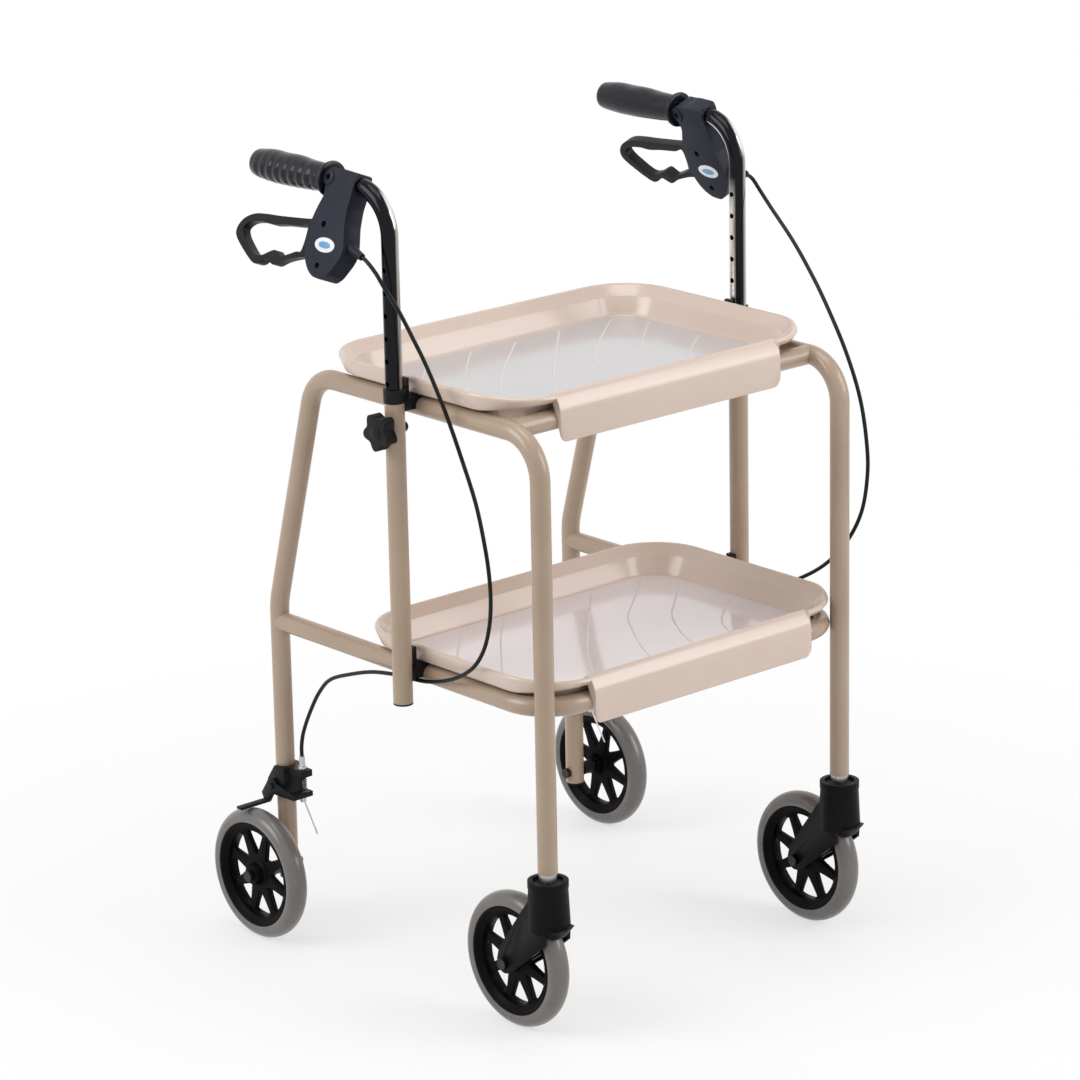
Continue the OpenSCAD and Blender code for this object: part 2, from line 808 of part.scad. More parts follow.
// The nose is a lip in front of the bell, above the tyre
module fork_nose_lip() {
    intersection() {
        translate([0, 0, bell_low_z - nose_h / 2])
            cylinder(h = nose_h, r1 = bell_d / 2 - 4, r2 = fork_nose);
        translate([-fork_gap, -2 * fork_nose, bell_low_z - nose_h])
            cube([2 * fork_gap, 2 * fork_nose - crown_d / 3, 2 * nose_h]);
    }
}

module castor_fork() {
    color(BLACK)
        translate([half_w, front_y, 0])
        difference() {
            union() {
                translate([0, 0, bell_low_z])
                    cylinder(h = bell_h - 1, d1 = bell_d, d2 = crown_d);
                translate([0, 0, crown_top_z - crown_band_h])
                    cylinder(h = crown_band_h, d = crown_d + 2);
                fork_arm();
                mirror([1, 0, 0])
                    fork_arm();
                fork_nose_lip();
            }
            x_bar(-fork_gap, fork_gap, castor_trail, wheel_r, wheel_d + 2 * tyre_gap);
            translate([0, 0, crown_top_z - crown_dish_h])
                cylinder(h = 2 * crown_dish_h, r = crown_dish_r);
            translate([0, 0, bell_low_z - 1])
                cylinder(h = bell_h + 2, r = stem_d / 2 + run_gap);
            x_bar(-2 * fork_gap, 2 * fork_gap, castor_trail, wheel_r, axle_d + 2 * bolt_gap);
        }
}

module castor_axle() {
    reach = fork_gap + fork_arm_t + bolt_gap;
    color(STEEL)
        translate([half_w, front_y + castor_trail, wheel_r]) {
            x_bar(-reach - axle_head_h, reach, 0, 0, axle_d);
            x_bar(reach, reach + axle_head_h, 0, 0, axle_head_d);
            x_hex(-reach - axle_head_h, -reach, 0, 0, axle_head_d);
        }
}

// Rear brakes

module brake_bracket() {
    color(BLACK)
        difference() {
            union() {
                translate([half_w - bracket_half, rear_y - bracket_half, bracket_low_z])
                    cube([2 * bracket_half, 2 * bracket_half, bracket_top_z - bracket_low_z]);
                translate([half_w - ear_half, wire_y - ear_half, bracket_top_z - ear_t])
                    cube([2 * ear_half, wire_front, ear_t]);
                x_bar(half_w + tube_r + 1, arm_x + arm_t + 2, arm_pin_y, arm_pin_z, arm_pin_d);
            }
            translate([half_w, rear_y, bracket_low_z - 1])
                cylinder(h = bracket_top_z - bracket_low_z + 2, r = tube_r + bolt_gap);
            translate([half_w, wire_y, bracket_top_z - 2 * ear_t])
                cylinder(h = 3 * ear_t, r = adjuster_d / 2);
            translate([half_w - 2 * bracket_half, rear_y + bracket_cut_back, bracket_top_z])
                rotate([-bracket_cut_slope, 0, 0])
                cube([4 * bracket_half, 3 * bracket_half, bracket_h]);
        }
}

module bracket_screws() {
    x0 = half_w - bracket_half;
    color(STEEL)
        on_both_sides()
        for (z = [bracket_low_z + bracket_screw_in, bracket_top_z - bracket_screw_in])
            x_bar(x0 - bracket_screw_h, x0, rear_y, z, bracket_screw_d);
}

module cable_adjusters() {
    color(STEEL)
        on_both_sides()
        translate([half_w, wire_y, 0])
        difference() {
            union() {
                translate([0, 0, bracket_top_z])
                    cylinder(h = 4, d = adjuster_d + 4, $fn = 6);
                translate([0, 0, bracket_top_z - ear_t])
                    cylinder(h = ear_t + adjuster_rise, r = adjuster_d / 2 - bolt_gap);
            }
            translate([0, 0, bracket_top_z - 2 * ear_t])
                cylinder(h = 6 * ear_t, d = wire_d + 1);
        }
}

module brake_arm() {
    color(BLACK)
        difference() {
            union() {
                upright(arm_x)
                    linear_extrude(arm_t)
                    union() {
                        translate([arm_pin_y, arm_pin_z])
                            circle(r = 9);
                        polygon([
                            [arm_pin_y - 8, arm_pin_z + 4],
                            [wire_y - 8, arm_lug_z + arm_lug_h],
                            [wire_y - 8, arm_lug_z],
                            [arm_pin_y - 2, arm_pin_z - 9],
                            [rear_y + bar_back - bar_w / 2, bar_z],
                            [rear_y + bar_back + bar_w / 2, bar_z],
                            [rear_y + bar_back + bar_w, bar_z + 9],
                            [arm_pin_y + 8, arm_pin_z + 4]
                        ]);
                    }
                translate([half_w - ear_half, wire_y - 8, arm_lug_z])
                    cube([arm_x + arm_t - half_w + ear_half, 12, arm_lug_h]);
                translate([arm_x, rear_y + bar_back - bar_w / 2, bar_z])
                    cube([rear_wheel_x + tyre_w / 2 + bar_over - arm_x, bar_w, bar_t]);
            }
            x_bar(arm_x - 1, arm_x + arm_t + 1, arm_pin_y, arm_pin_z, arm_pin_d + 2 * run_gap);
            translate([half_w, wire_y, arm_lug_z - 1])
                cylinder(h = arm_lug_h + 2, d = wire_d + 2 * bolt_gap);
        }
}

// Points of the brake spring's wire, eight to a turn
SPRING_POINTS = [for (k = [0 : 8 * spring_turns])
    [
        spring_r * cos(45 * k),
        spring_r * sin(45 * k),
        spring_wire_d / 2 + (spring_top_z - spring_low_z - spring_wire_d) * k / (8 * spring_turns)
    ]];

module brake_spring() {
    color(BLACK)
        translate([half_w, wire_y, spring_low_z])
        swept_tube(SPRING_POINTS, spring_wire_d / 2, 6, [0, 0, 1]);
}

// The wire's least distance to its next turn, less its thickness
spring_gap = min([for (i = [0 : 8 * spring_turns - 4], j = [i + 4 : 8 * spring_turns])
    norm(SPRING_POINTS[j] - SPRING_POINTS[i])]) - spring_wire_d;
echo(least_gap_of_brake_spring = spring_gap);

module brake_wire() {
    color(STEEL)
        translate([half_w, wire_y, 0]) {
            translate([0, 0, arm_lug_z - pinch_h - bolt_gap])
                cylinder(h = pinch_h, d = pinch_d);
            translate([0, 0, arm_lug_z - pinch_h / 2])
                cylinder(h = spring_top_z - arm_lug_z + pinch_h / 2 - wire_slack, d = wire_d);
            translate([0, 0, arm_lug_z - pinch_h / 2])
                rotate([180 - wire_tail_slant, 0, 0])
                cylinder(h = wire_tail_len, d = wire_d);
        }
}

// Cables

RIGHT_ROUTE = curve(RIGHT_CABLE, cable_steps);
LEFT_ROUTE = curve(LEFT_CABLE, cable_steps);
echo(right_cable_length = route_length(RIGHT_ROUTE));
echo(left_cable_length = route_length(LEFT_ROUTE));

module brake_cable(route) {
    color(BLACK)
        swept_tube(route, cable_d / 2, cable_sides, [1, 0, 0]);
}

// Handles

module handle_post() {
    color(CHROME)
        difference() {
            upright(post_x)
                bent_bar(POST_PATH, POST_BENDS, post_r);
            upright(post_x)
                bent_bar(POST_PATH, POST_BENDS, post_r - post_wall, 1);
            for (k = [0 : hole_count - 1])
                x_bar(post_x - post_d, post_x + post_d, post_y, knob_z + k * hole_pitch, hole_d);
        }
}

module post_bush() {
    skirt_h = 12;
    color(BLACK)
        translate([post_x, post_y, post_low_z]) {
            translate([0, 0, -4])
                cylinder(h = 4, r = receiver_in_r - run_gap);
            cylinder(h = skirt_h, r = post_r - post_wall);
        }
}

// The grip is a turned shape with a flange in front and a swollen palm
module hand_grip() {
    r = grip_d / 2;
    wall_in = post_r + bolt_gap;
    bore_len = POST_PATH[2][0] - grip_front_y + face_gap;
    color(BLACK)
        translate([post_x, grip_front_y, grip_z])
        rotate([-90, 0, 0])
        rotate_extrude()
        polygon([
            [wall_in, 0],
            [flange_d / 2, 0],
            [flange_d / 2, flange_t],
            [r - 3, 2 * flange_t],
            [r - 2, grip_len * 0.2],
            [r, grip_len * 0.45],
            [r, grip_len * 0.75],
            [r - 2, grip_len - 6],
            [r - 7, grip_len],
            [0, grip_len],
            [0, bore_len],
            [wall_in, bore_len]
        ]);
}

// Moves a drawing in (y, z) from the post's axis and the grip's axis to its place
module at_handle(x) {
    upright(x)
        translate([post_y, grip_z])
        children();
}

// Tilts a brake unit outward about the grip's axis
module on_brake() {
    translate([post_x, 0, grip_z])
        rotate([0, -brake_tilt, 0])
        translate([-post_x, 0, -grip_z])
        children();
}

module housing_half_shell(x0, x1) {
    difference() {
        at_handle(x0)
            linear_extrude(x1 - x0)
            polygon(HOUSING);
        at_handle(post_x - pocket_half)
            linear_extrude(2 * pocket_half)
            union() {
                translate(LEVER_PIN)
                    circle(r = pocket_r);
                polygon(POCKET);
            }
        translate([post_x, post_y, grip_z])
            rotate([-90, 0, 0])
            cylinder(h = 2 * grip_back, r = post_r + bolt_gap);
        at_handle(x0 - 1)
            linear_extrude(x1 - x0 + 2)
            translate(LEVER_PIN)
            circle(d = lever_pin_d);
        at_handle(x0 - 1)
            linear_extrude(x1 - x0 + 2)
            translate(BODY_SCREW)
            circle(d = housing_screw_d);
        at_handle(post_x + clamp_screw_in)
            linear_extrude(housing_half)
            translate(CLAMP_SCREW)
            circle(d = housing_screw_d);
    }
}

module brake_housing() {
    color(BLACK) {
        housing_half_shell(post_x, post_x + housing_half);
        difference() {
            translate([post_x, post_y + NOZZLE[0], grip_z + NOZZLE[1]])
                rotate([90 + nozzle_slant, 0, 0])
                cylinder(h = nozzle_len, d = nozzle_d);
            at_handle(post_x - housing_half)
                linear_extrude(2 * housing_half)
                polygon(HOUSING);
        }
    }
}

module housing_cover() {
    color(BLACK)
        housing_half_shell(post_x - housing_half, post_x - bolt_gap);
}

module housing_screws() {
    d = housing_screw_d - 2 * bolt_gap;
    color(STEEL) {
        at_handle(post_x - housing_half + 1)
            linear_extrude(2 * housing_half - 2)
            translate(BODY_SCREW)
            circle(d = d);
        at_handle(post_x + clamp_screw_in)
            linear_extrude(housing_half - clamp_screw_in - 1)
            translate(CLAMP_SCREW)
            circle(d = d);
    }
}

module lever_pin() {
    color(STEEL)
        at_handle(post_x - housing_half + 1)
        linear_extrude(2 * housing_half - 2)
        translate(LEVER_PIN)
        circle(d = lever_pin_d);
}

module brake_lever() {
    x0 = post_x - lever_t / 2;
    pin_y = post_y + LEVER_PIN[0];
    pin_z = grip_z + LEVER_PIN[1];
    color(BLACK)
        difference() {
            union() {
                at_handle(x0)
                    linear_extrude(lever_t)
                    polygon(LEVER_OUTER);
                x_bar(x0, x0 + lever_t, pin_y, pin_z, 2 * lever_hub_r);
            }
            at_handle(x0 - 1)
                linear_extrude(lever_t + 2)
                polygon(LEVER_INNER);
            x_bar(x0 - 1, x0 + lever_t + 1, pin_y, pin_z, lever_pin_d + 2 * run_gap);
        }
}

module height_knob() {
    disc_x = knob_face_x + knob_neck_h;
    color(BLACK)
        difference() {
            union() {
                x_bar(knob_face_x, disc_x + 2, post_y, knob_z, knob_neck_d);
                x_bar(disc_x, disc_x + knob_h, post_y, knob_z, knob_disc_d);
                for (k = [0 : knob_lobes - 1])
                    translate([0, post_y, knob_z])
                        rotate([360 * k / knob_lobes - knob_rest_angle, 0, 0])
                        x_bar(disc_x + 1, disc_x + knob_h - 3, (knob_d - knob_lobe_d) / 2, 0, knob_lobe_d);
            }
            x_bar(knob_face_x - 1, knob_face_x + knob_h, post_y, knob_z, knob_screw_d);
        }
}

module knob_screw() {
    color(STEEL)
        x_bar(post_x + post_r + face_gap, knob_face_x + knob_h, post_y, knob_z, knob_screw_d);
}

// Trays

module tray_wall_run(length) {
    rotate([90, 0, 0])
        linear_extrude(length)
        polygon(TRAY_WALL);
}

module tray_corner() {
    rotate_extrude(angle = 90)
        polygon(TRAY_WALL);
}

module tray_floor() {
    centre_x = half_w - tray_corner_r;
    back_y = tray_len - rim_r;
    inner_r = floor_r - 2;
    translate([0, 0, -tray_t + 0.5])
        linear_extrude(tray_t)
        union() {
            translate([-centre_x, tray_corner_r - inner_r])
                square([2 * centre_x, back_y - tray_corner_r + 2 * inner_r]);
            translate([-centre_x - inner_r, tray_corner_r])
                square([2 * (centre_x + inner_r), back_y - tray_corner_r]);
            for (x = [-centre_x, centre_x], y = [tray_corner_r, back_y])
                translate([x, y])
                    circle(r = inner_r);
        }
}

module tray() {
    centre_x = half_w - tray_corner_r;
    back_y = tray_len - rim_r;
    tray_floor();
    on_both_sides() {
        translate([centre_x, back_y, 0])
            tray_corner();
        translate([centre_x, tray_corner_r, 0])
            rotate([0, 0, -90])
            tray_corner();
        translate([centre_x, back_y, 0])
            tray_wall_run(back_y - tray_corner_r);
        translate([lip_w / 2, tray_corner_r, 0])
            rotate([0, 0, -90])
            tray_wall_run(centre_x - lip_w / 2);
    }
    translate([-centre_x, back_y, 0])
        rotate([0, 0, 90])
        tray_wall_run(2 * centre_x);
    upright(-lip_w / 2)
        linear_extrude(lip_w)
        polygon(LIP);
}

module upper_tray() {
    color(TRAY)
        translate([0, crossbar_y, top_rail_z])
        tray();
}

module lower_tray() {
    color(TRAY)
        translate([0, front_y, low_rail_z])
        tray();
}

on_side(-1) side_frame();  // side_frame_right
on_side(1) side_frame();  // side_frame_left
top_crossbar();
lower_tray_frame();
on_side(-1) handle_receiver();  // handle_receiver_right
on_side(1) handle_receiver();  // handle_receiver_left
receiver_saddles();
saddle_rivets();
receiver_collars();
tube_end_plugs();
knob_end_caps();
rear_axles();
castor_stems();
on_side(-1) brake_bracket();  // brake_bracket_right
on_side(1) brake_bracket();  // brake_bracket_left
bracket_screws();
cable_adjusters();
brake_cable(RIGHT_ROUTE);  // brake_cable_right
brake_cable(LEFT_ROUTE);  // brake_cable_left
on_side(-1) handle_post();  // handle_post_right
on_side(1) handle_post();  // handle_post_left
on_side(-1) post_bush();  // post_bush_right
on_side(1) post_bush();  // post_bush_left
on_side(-1) hand_grip();  // hand_grip_right
on_side(1) hand_grip();  // hand_grip_left
on_side(-1) on_brake() brake_housing();  // brake_housing_right
on_side(1) on_brake() brake_housing();  // brake_housing_left
on_side(-1) on_brake() housing_cover();  // housing_cover_right
on_side(1) on_brake() housing_cover();  // housing_cover_left
on_side(-1) on_brake() housing_screws();  // housing_screws_right
on_side(1) on_brake() housing_screws();  // housing_screws_left
on_side(-1) on_brake() lever_pin();  // lever_pin_right
on_side(1) on_brake() lever_pin();  // lever_pin_left
on_side(-1) on_brake() brake_lever();  // brake_lever_right
on_side(1) on_brake() brake_lever();  // brake_lever_left
on_side(-1) height_knob();  // height_knob_right
on_side(1) height_knob();  // height_knob_left
on_side(-1) knob_screw();  // knob_screw_right
on_side(1) knob_screw();  // knob_screw_left
on_side(-1) castor_fork();  // castor_fork_right
on_side(1) castor_fork();  // castor_fork_left
on_side(-1) castor_axle();  // castor_axle_right
on_side(1) castor_axle();  // castor_axle_left
on_side(-1) at_castor_wheel() color(BLACK) hub();  // castor_hub_right
on_side(1) at_castor_wheel() color(BLACK) hub();  // castor_hub_left
on_side(-1) at_castor_wheel() color(TYRE) tyre();  // castor_tyre_right
on_side(1) at_castor_wheel() color(TYRE) tyre();  // castor_tyre_left
on_side(-1) at_rear_wheel() color(BLACK) hub();  // rear_hub_right
on_side(1) at_rear_wheel() color(BLACK) hub();  // rear_hub_left
on_side(-1) at_rear_wheel() color(TYRE) tyre();  // rear_tyre_right
on_side(1) at_rear_wheel() color(TYRE) tyre();  // rear_tyre_left
on_side(-1) brake_arm();  // brake_arm_right
on_side(1) brake_arm();  // brake_arm_left
on_side(-1) brake_spring();  // brake_spring_right
on_side(1) brake_spring();  // brake_spring_left
on_side(-1) brake_wire();  // brake_wire_right
on_side(1) brake_wire();  // brake_wire_left
upper_tray();
lower_tray();
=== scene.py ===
import json
import math

import bmesh
import bpy
from mathutils import Matrix, Vector


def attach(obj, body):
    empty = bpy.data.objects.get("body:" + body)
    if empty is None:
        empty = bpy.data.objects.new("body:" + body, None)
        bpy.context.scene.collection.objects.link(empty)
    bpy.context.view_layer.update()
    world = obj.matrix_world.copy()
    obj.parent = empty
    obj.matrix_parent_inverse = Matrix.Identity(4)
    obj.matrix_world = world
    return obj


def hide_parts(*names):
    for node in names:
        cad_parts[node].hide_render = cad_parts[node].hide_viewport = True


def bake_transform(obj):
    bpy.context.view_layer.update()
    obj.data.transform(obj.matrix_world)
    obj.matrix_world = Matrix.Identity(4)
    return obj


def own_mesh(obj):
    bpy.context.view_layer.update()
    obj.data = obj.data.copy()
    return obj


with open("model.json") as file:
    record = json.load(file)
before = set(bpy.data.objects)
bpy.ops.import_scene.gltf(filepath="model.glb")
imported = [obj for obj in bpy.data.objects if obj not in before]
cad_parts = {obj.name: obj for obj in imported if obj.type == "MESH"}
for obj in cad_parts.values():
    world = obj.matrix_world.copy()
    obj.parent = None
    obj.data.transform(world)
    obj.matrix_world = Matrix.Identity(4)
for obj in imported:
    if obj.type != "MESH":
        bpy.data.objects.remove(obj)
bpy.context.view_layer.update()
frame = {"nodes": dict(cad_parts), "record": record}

nodes = frame["nodes"]
scene = bpy.context.scene
bpy.context.view_layer.update()

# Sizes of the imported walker, in millimetres: +Z up, front towards -Y, left side at +X
MM = 0.001
HALF_W = 222.0
FRONT_Y = -250.5
REAR_Y = 202.5
CROSSBAR_Y = -202.5
TOP_RAIL_Z = 675.0
LOW_RAIL_Z = 372.0
POST_X = 255.0
POST_Y = -54.5
GRIP_Z = 913.0
GRIP_FRONT_Y = 38.5
WHEEL_R = 77.0
REAR_WHEEL_X = 264.0
CASTOR_Y = -198.5
KNOB_Z = 655.0
WIRE_Y = 171.5
BRAKE_TILT = 22.0
SIDES = (("right", -1), ("left", 1))


# Camera at the photograph's viewing angle, in degrees and metres

CAMERA_AZIMUTH = -41.2055
CAMERA_ELEVATION = 16.9755
CAMERA_ROLL = -1.1379
CAMERA_LENS = 147.3616
CAMERA_AIM = (0, -0.0238, 0.4683)
CAMERA_SHIFT = -0.019
CAMERA_DISTANCE = 4.9721


def set_camera():
    azimuth, elevation, roll = (math.radians(a) for a in (CAMERA_AZIMUTH, CAMERA_ELEVATION, CAMERA_ROLL))
    back = Vector((
        math.sin(azimuth) * math.cos(elevation),
        -math.cos(azimuth) * math.cos(elevation),
        math.sin(elevation),
    ))
    right = Vector((math.cos(azimuth), math.sin(azimuth), 0))
    up = back.cross(right)
    x_axis = right * math.cos(roll) + up * math.sin(roll)
    y_axis = up * math.cos(roll) - right * math.sin(roll)
    place = Vector(CAMERA_AIM) + right * CAMERA_SHIFT + back * CAMERA_DISTANCE
    turn = Matrix((x_axis, y_axis, back)).transposed().to_4x4()
    data = bpy.data.cameras.new("camera")
    data.lens = CAMERA_LENS
    data.sensor_width = 36
    data.clip_end = 50
    camera = bpy.data.objects.new("camera", data)
    camera.matrix_world = Matrix.Translation(place) @ turn
    scene.collection.objects.link(camera)
    scene.camera = camera


set_camera()


# Materials

def new_material(name):
    material = bpy.data.materials.new(name)
    material.use_nodes = True
    tree = material.node_tree
    return material, tree, tree.nodes["Principled BSDF"]


def object_noise(tree, scale, detail=4):
    place = tree.nodes.new("ShaderNodeTexCoord")
    noise = tree.nodes.new("ShaderNodeTexNoise")
    noise.inputs["Scale"].default_value = scale
    noise.inputs["Detail"].default_value = detail
    tree.links.new(place.outputs["Object"], noise.inputs["Vector"])
    return noise


def ramp(tree, source, low, high, start=0.3, end=0.7):
    node = tree.nodes.new("ShaderNodeValToRGB")
    node.color_ramp.elements[0].position = start
    node.color_ramp.elements[1].position = end
    node.color_ramp.elements[0].color = (*low, 1)
    node.color_ramp.elements[1].color = (*high, 1)
    tree.links.new(source, node.inputs["Fac"])
    return node.outputs["Color"]


def span(tree, source, low, high):
    node = tree.nodes.new("ShaderNodeMapRange")
    node.inputs["To Min"].default_value = low
    node.inputs["To Max"].default_value = high
    tree.links.new(source, node.inputs["Value"])
    return node.outputs["Result"]


def bump(tree, shader, source, strength, distance):
    node = tree.nodes.new("ShaderNodeBump")
    node.inputs["Strength"].default_value = strength
    node.inputs["Distance"].default_value = distance
    tree.links.new(source, node.inputs["Height"])
    tree.links.new(node.outputs["Normal"], shader.inputs["Normal"])


def speckled(name, low, high, rough, scale, grain, grain_depth, metallic=0.0, coat=0.0, shine=0.5):
    """A finish whose colour, roughness and fine relief all vary over the surface."""
    material, tree, shader = new_material(name)
    broad = object_noise(tree, scale)
    fine = object_noise(tree, grain, 3)
    tree.links.new(ramp(tree, broad.outputs["Fac"], low, high), shader.inputs["Base Color"])
    tree.links.new(span(tree, broad.outputs["Fac"], rough[0], rough[1]), shader.inputs["Roughness"])
    shader.inputs["Metallic"].default_value = metallic
    shader.inputs["Specular IOR Level"].default_value = shine
    shader.inputs["Coat Weight"].default_value = coat
    shader.inputs["Coat Roughness"].default_value = 0.15
    bump(tree, shader, fine.outputs["Fac"], 0.35, grain_depth)
    return material


def joined(tree, operation, first, second):
    node = tree.nodes.new("ShaderNodeMath")
    node.operation = operation
    tree.links.new(first, node.inputs[0])
    tree.links.new(second, node.inputs[1])
    return node.outputs["Value"]


def between(tree, source, start, end, level=1.0):
    """Rises from nought to a level while the source goes from start to end."""
    node = tree.nodes.new("ShaderNodeMapRange")
    node.inputs["From Min"].default_value = start
    node.inputs["From Max"].default_value = end
    node.inputs["To Max"].default_value = level
    tree.links.new(source, node.inputs["Value"])
    return node.outputs["Result"]


# Painted reflections on the chrome: the normal direction each pale streak faces, where each starts and is
# full, and its strength
PAINTED_CHROME_REFLECTIONS = (
    ((0.45, -0.893, 0.0), 0.86, 0.985, 0.48),
    ((0.3, -0.81, 0.5), 0.89, 0.97, 1.0),
    ((-0.79, 0.43, -0.43), 0.9, 0.98, 1.0),
    ((-0.9, 0.43, 0.0), 0.5, 0.7, 0.75),
)
# Heights between which the painted reflection of the tray on the left post fades out, in metres
PAINTED_TRAY_REFLECTION_END = 0.85
PAINTED_TRAY_REFLECTION_FULL = 0.81


def chrome_with_painted_reflections(name):
    """Polished metallic plating with its reflections painted into the base colour: dark as a painted
    reflection of a dark room, pale streaks by normal direction as painted reflections and highlights, and a
    painted reflection of the pale tray on the left post.
    """
    material, tree, shader = new_material(name)
    surface = tree.nodes.new("ShaderNodeTexCoord")
    place = tree.nodes.new("ShaderNodeSeparateXYZ")
    tree.links.new(surface.outputs["Object"], place.inputs["Vector"])
    painted_streaks = []
    for way, start, end, level in PAINTED_CHROME_REFLECTIONS:
        facing = tree.nodes.new("ShaderNodeVectorMath")
        facing.operation = "DOT_PRODUCT"
        facing.inputs[1].default_value = way
        tree.links.new(surface.outputs["Normal"], facing.inputs[0])
        painted_streaks.append(between(tree, facing.outputs["Value"], start, end, level))
    # The last streak, the painted reflection of the tray, is kept to the left post and below the tray
    left = between(tree, place.outputs["X"], -0.01, 0.01)
    low = between(tree, place.outputs["Z"], PAINTED_TRAY_REFLECTION_END, PAINTED_TRAY_REFLECTION_FULL)
    painted_streaks[-1] = joined(tree, "MULTIPLY", painted_streaks[-1], joined(tree, "MULTIPLY", left, low))
    painted_reflection_share = painted_streaks[0]
    for streak in painted_streaks[1:]:
        painted_reflection_share = joined(tree, "MAXIMUM", painted_reflection_share, streak)
    noise = object_noise(tree, 9)
    # Base colour runs from the dark painted reflection to the pale painted streaks
    colour = ramp(tree, painted_reflection_share, (0.017, 0.017, 0.02), (0.86, 0.82, 0.79), 0.0, 1.0)
    tree.links.new(colour, shader.inputs["Base Color"])
    tree.links.new(span(tree, noise.outputs["Fac"], 0.08, 0.14), shader.inputs["Roughness"])
    shader.inputs["Metallic"].default_value = 1.0
    return material


frame_paint = speckled(
    "beige_powder_coat", (0.37, 0.268, 0.19), (0.413, 0.306, 0.222), (0.24, 0.36),
    14, 900, 0.00012, coat=0.25)
tray_plastic = speckled(
    "glossy_tray_plastic", (0.62, 0.49, 0.41), (0.66, 0.53, 0.45), (0.2, 0.3),
    6, 500, 0.00003, coat=0.3)
tray_floor = speckled(
    "pale_tray_floor", (0.495, 0.473, 0.48), (0.535, 0.512, 0.518), (0.08, 0.14),
    5, 400, 0.00002, coat=0.4)
# Paler finish for the floor ridges: a painted highlight along the moulded lines
ridge_highlight_finish = speckled(
    "floor_ridge_painted_highlight", (0.66, 0.64, 0.64), (0.7, 0.68, 0.68), (0.2, 0.3),
    5, 400, 0.00002)
# The lower tray's floor: the same floor plastic painted lighter and warmer than on the upper tray, which is
# painted light
lower_floor_painted_light = speckled(
    "lower_tray_floor_painted_light", (0.74, 0.67, 0.68), (0.78, 0.71, 0.72), (0.06, 0.1),
    5, 400, 0.00002, coat=0.4)
black_plastic = speckled(
    "black_moulded_plastic", (0.006, 0.006, 0.007), (0.011, 0.011, 0.012), (0.34, 0.5),
    40, 1400, 0.00012, shine=0.14)
housing_plastic = speckled(
    "dark_housing_plastic", (0.009, 0.011, 0.02), (0.015, 0.018, 0.032), (0.36, 0.48),
    35, 1600, 0.00014, shine=0.16)
wheel_plastic = speckled(
    "black_wheel_plastic", (0.002, 0.002, 0.003), (0.004, 0.004, 0.005), (0.34, 0.5),
    40, 1200, 0.0001, shine=0.05)
fork_plastic = speckled(
    "black_fork_plastic", (0.004, 0.003, 0.0035), (0.007, 0.0055, 0.006), (0.34, 0.5),
    40, 1300, 0.0001, shine=0.08)
tyre_rubber = speckled(
    "grey_tyre_rubber", (0.126, 0.114, 0.108), (0.152, 0.139, 0.132), (0.22, 0.34),
    30, 1100, 0.00008, coat=0.25)
# Posts: chrome with painted reflections and highlights
chrome = chrome_with_painted_reflections("chrome_painted_reflections")
zinc_steel = speckled(
    "zinc_plated_steel", (0.46, 0.46, 0.47), (0.6, 0.6, 0.61), (0.22, 0.38),
    60, 900, 0.00005, metallic=1.0)
axle_steel = speckled(
    "dark_axle_steel", (0.03, 0.03, 0.033), (0.07, 0.068, 0.07), (0.25, 0.4),
    60, 900, 0.00005, metallic=1.0)
black_steel = speckled(
    "black_coated_steel", (0.005, 0.005, 0.006), (0.01, 0.01, 0.011), (0.3, 0.45),
    50, 1200, 0.0001, shine=0.14)
cable_sheath = speckled(
    "black_cable_sheath", (0.005, 0.005, 0.005), (0.01, 0.01, 0.01), (0.3, 0.42),
    60, 1500, 0.00006, shine=0.18)
grip_rubber = speckled(
    "soft_grip_rubber", (0.006, 0.006, 0.01), (0.011, 0.011, 0.017), (0.18, 0.28),
    70, 260, 0.0006, shine=0.26)
badge_white = speckled(
    "white_badge_enamel", (0.72, 0.76, 0.8), (0.78, 0.82, 0.86), (0.18, 0.28),
    80, 900, 0.00003)
badge_blue = speckled(
    "blue_badge_enamel", (0.1, 0.3, 0.52), (0.14, 0.36, 0.58), (0.18, 0.28),
    80, 900, 0.00003)

SLOT_FINISH = {
    "frame_paint": frame_paint,
    "chrome_tube": chrome,
    "tray_plastic": tray_plastic,
    "black_plastic": black_plastic,
    "housing_plastic": housing_plastic,
    "grip_rubber": grip_rubber,
    "wheel_plastic": wheel_plastic,
    "grey_tyre": tyre_rubber,
    "black_steel": black_steel,
    "zinc_steel": zinc_steel,
    "cable_sheath": cable_sheath,
}
node_slot = {part["node"]: part["material_slot"] for part in frame["record"]["subparts"]}

for node_name, slot_name in node_slot.items():
    mesh = nodes[node_name].data
    mesh.materials.clear()
    mesh.materials.append(SLOT_FINISH[slot_name])
for node_name in ("rear_axles", "castor_axle_right", "castor_axle_left"):
    nodes[node_name].data.materials[0] = axle_steel


# Modelling helpers: drawings are in millimetres and for the left side, x being the distance from the middle

def in_metres(bm, side=1):
    bmesh.ops.scale(bm, vec=(side * MM, MM, MM), verts=bm.verts)


def finish_piece(name, bm, finishes, body, stands_for=(), crease=35):
    """Makes a drawing in metres into a piece that rides on a body."""
    bmesh.ops.remove_doubles(bm, verts=bm.verts, dist=1e-7)
    bmesh.ops.recalc_face_normals(bm, faces=bm.faces)
    mesh = bpy.data.meshes.new(name)
    bm.to_mesh(mesh)
    bm.free()
    mesh.shade_smooth()
    mesh.set_sharp_from_angle(angle=math.radians(crease))
    for finish in finishes:
        mesh.materials.append(finish)
    piece = bpy.data.objects.new(name, mesh)
    scene.collection.objects.link(piece)
    if body:
        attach(piece, body)
    if stands_for:
        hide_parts(*stands_for)
    return piece


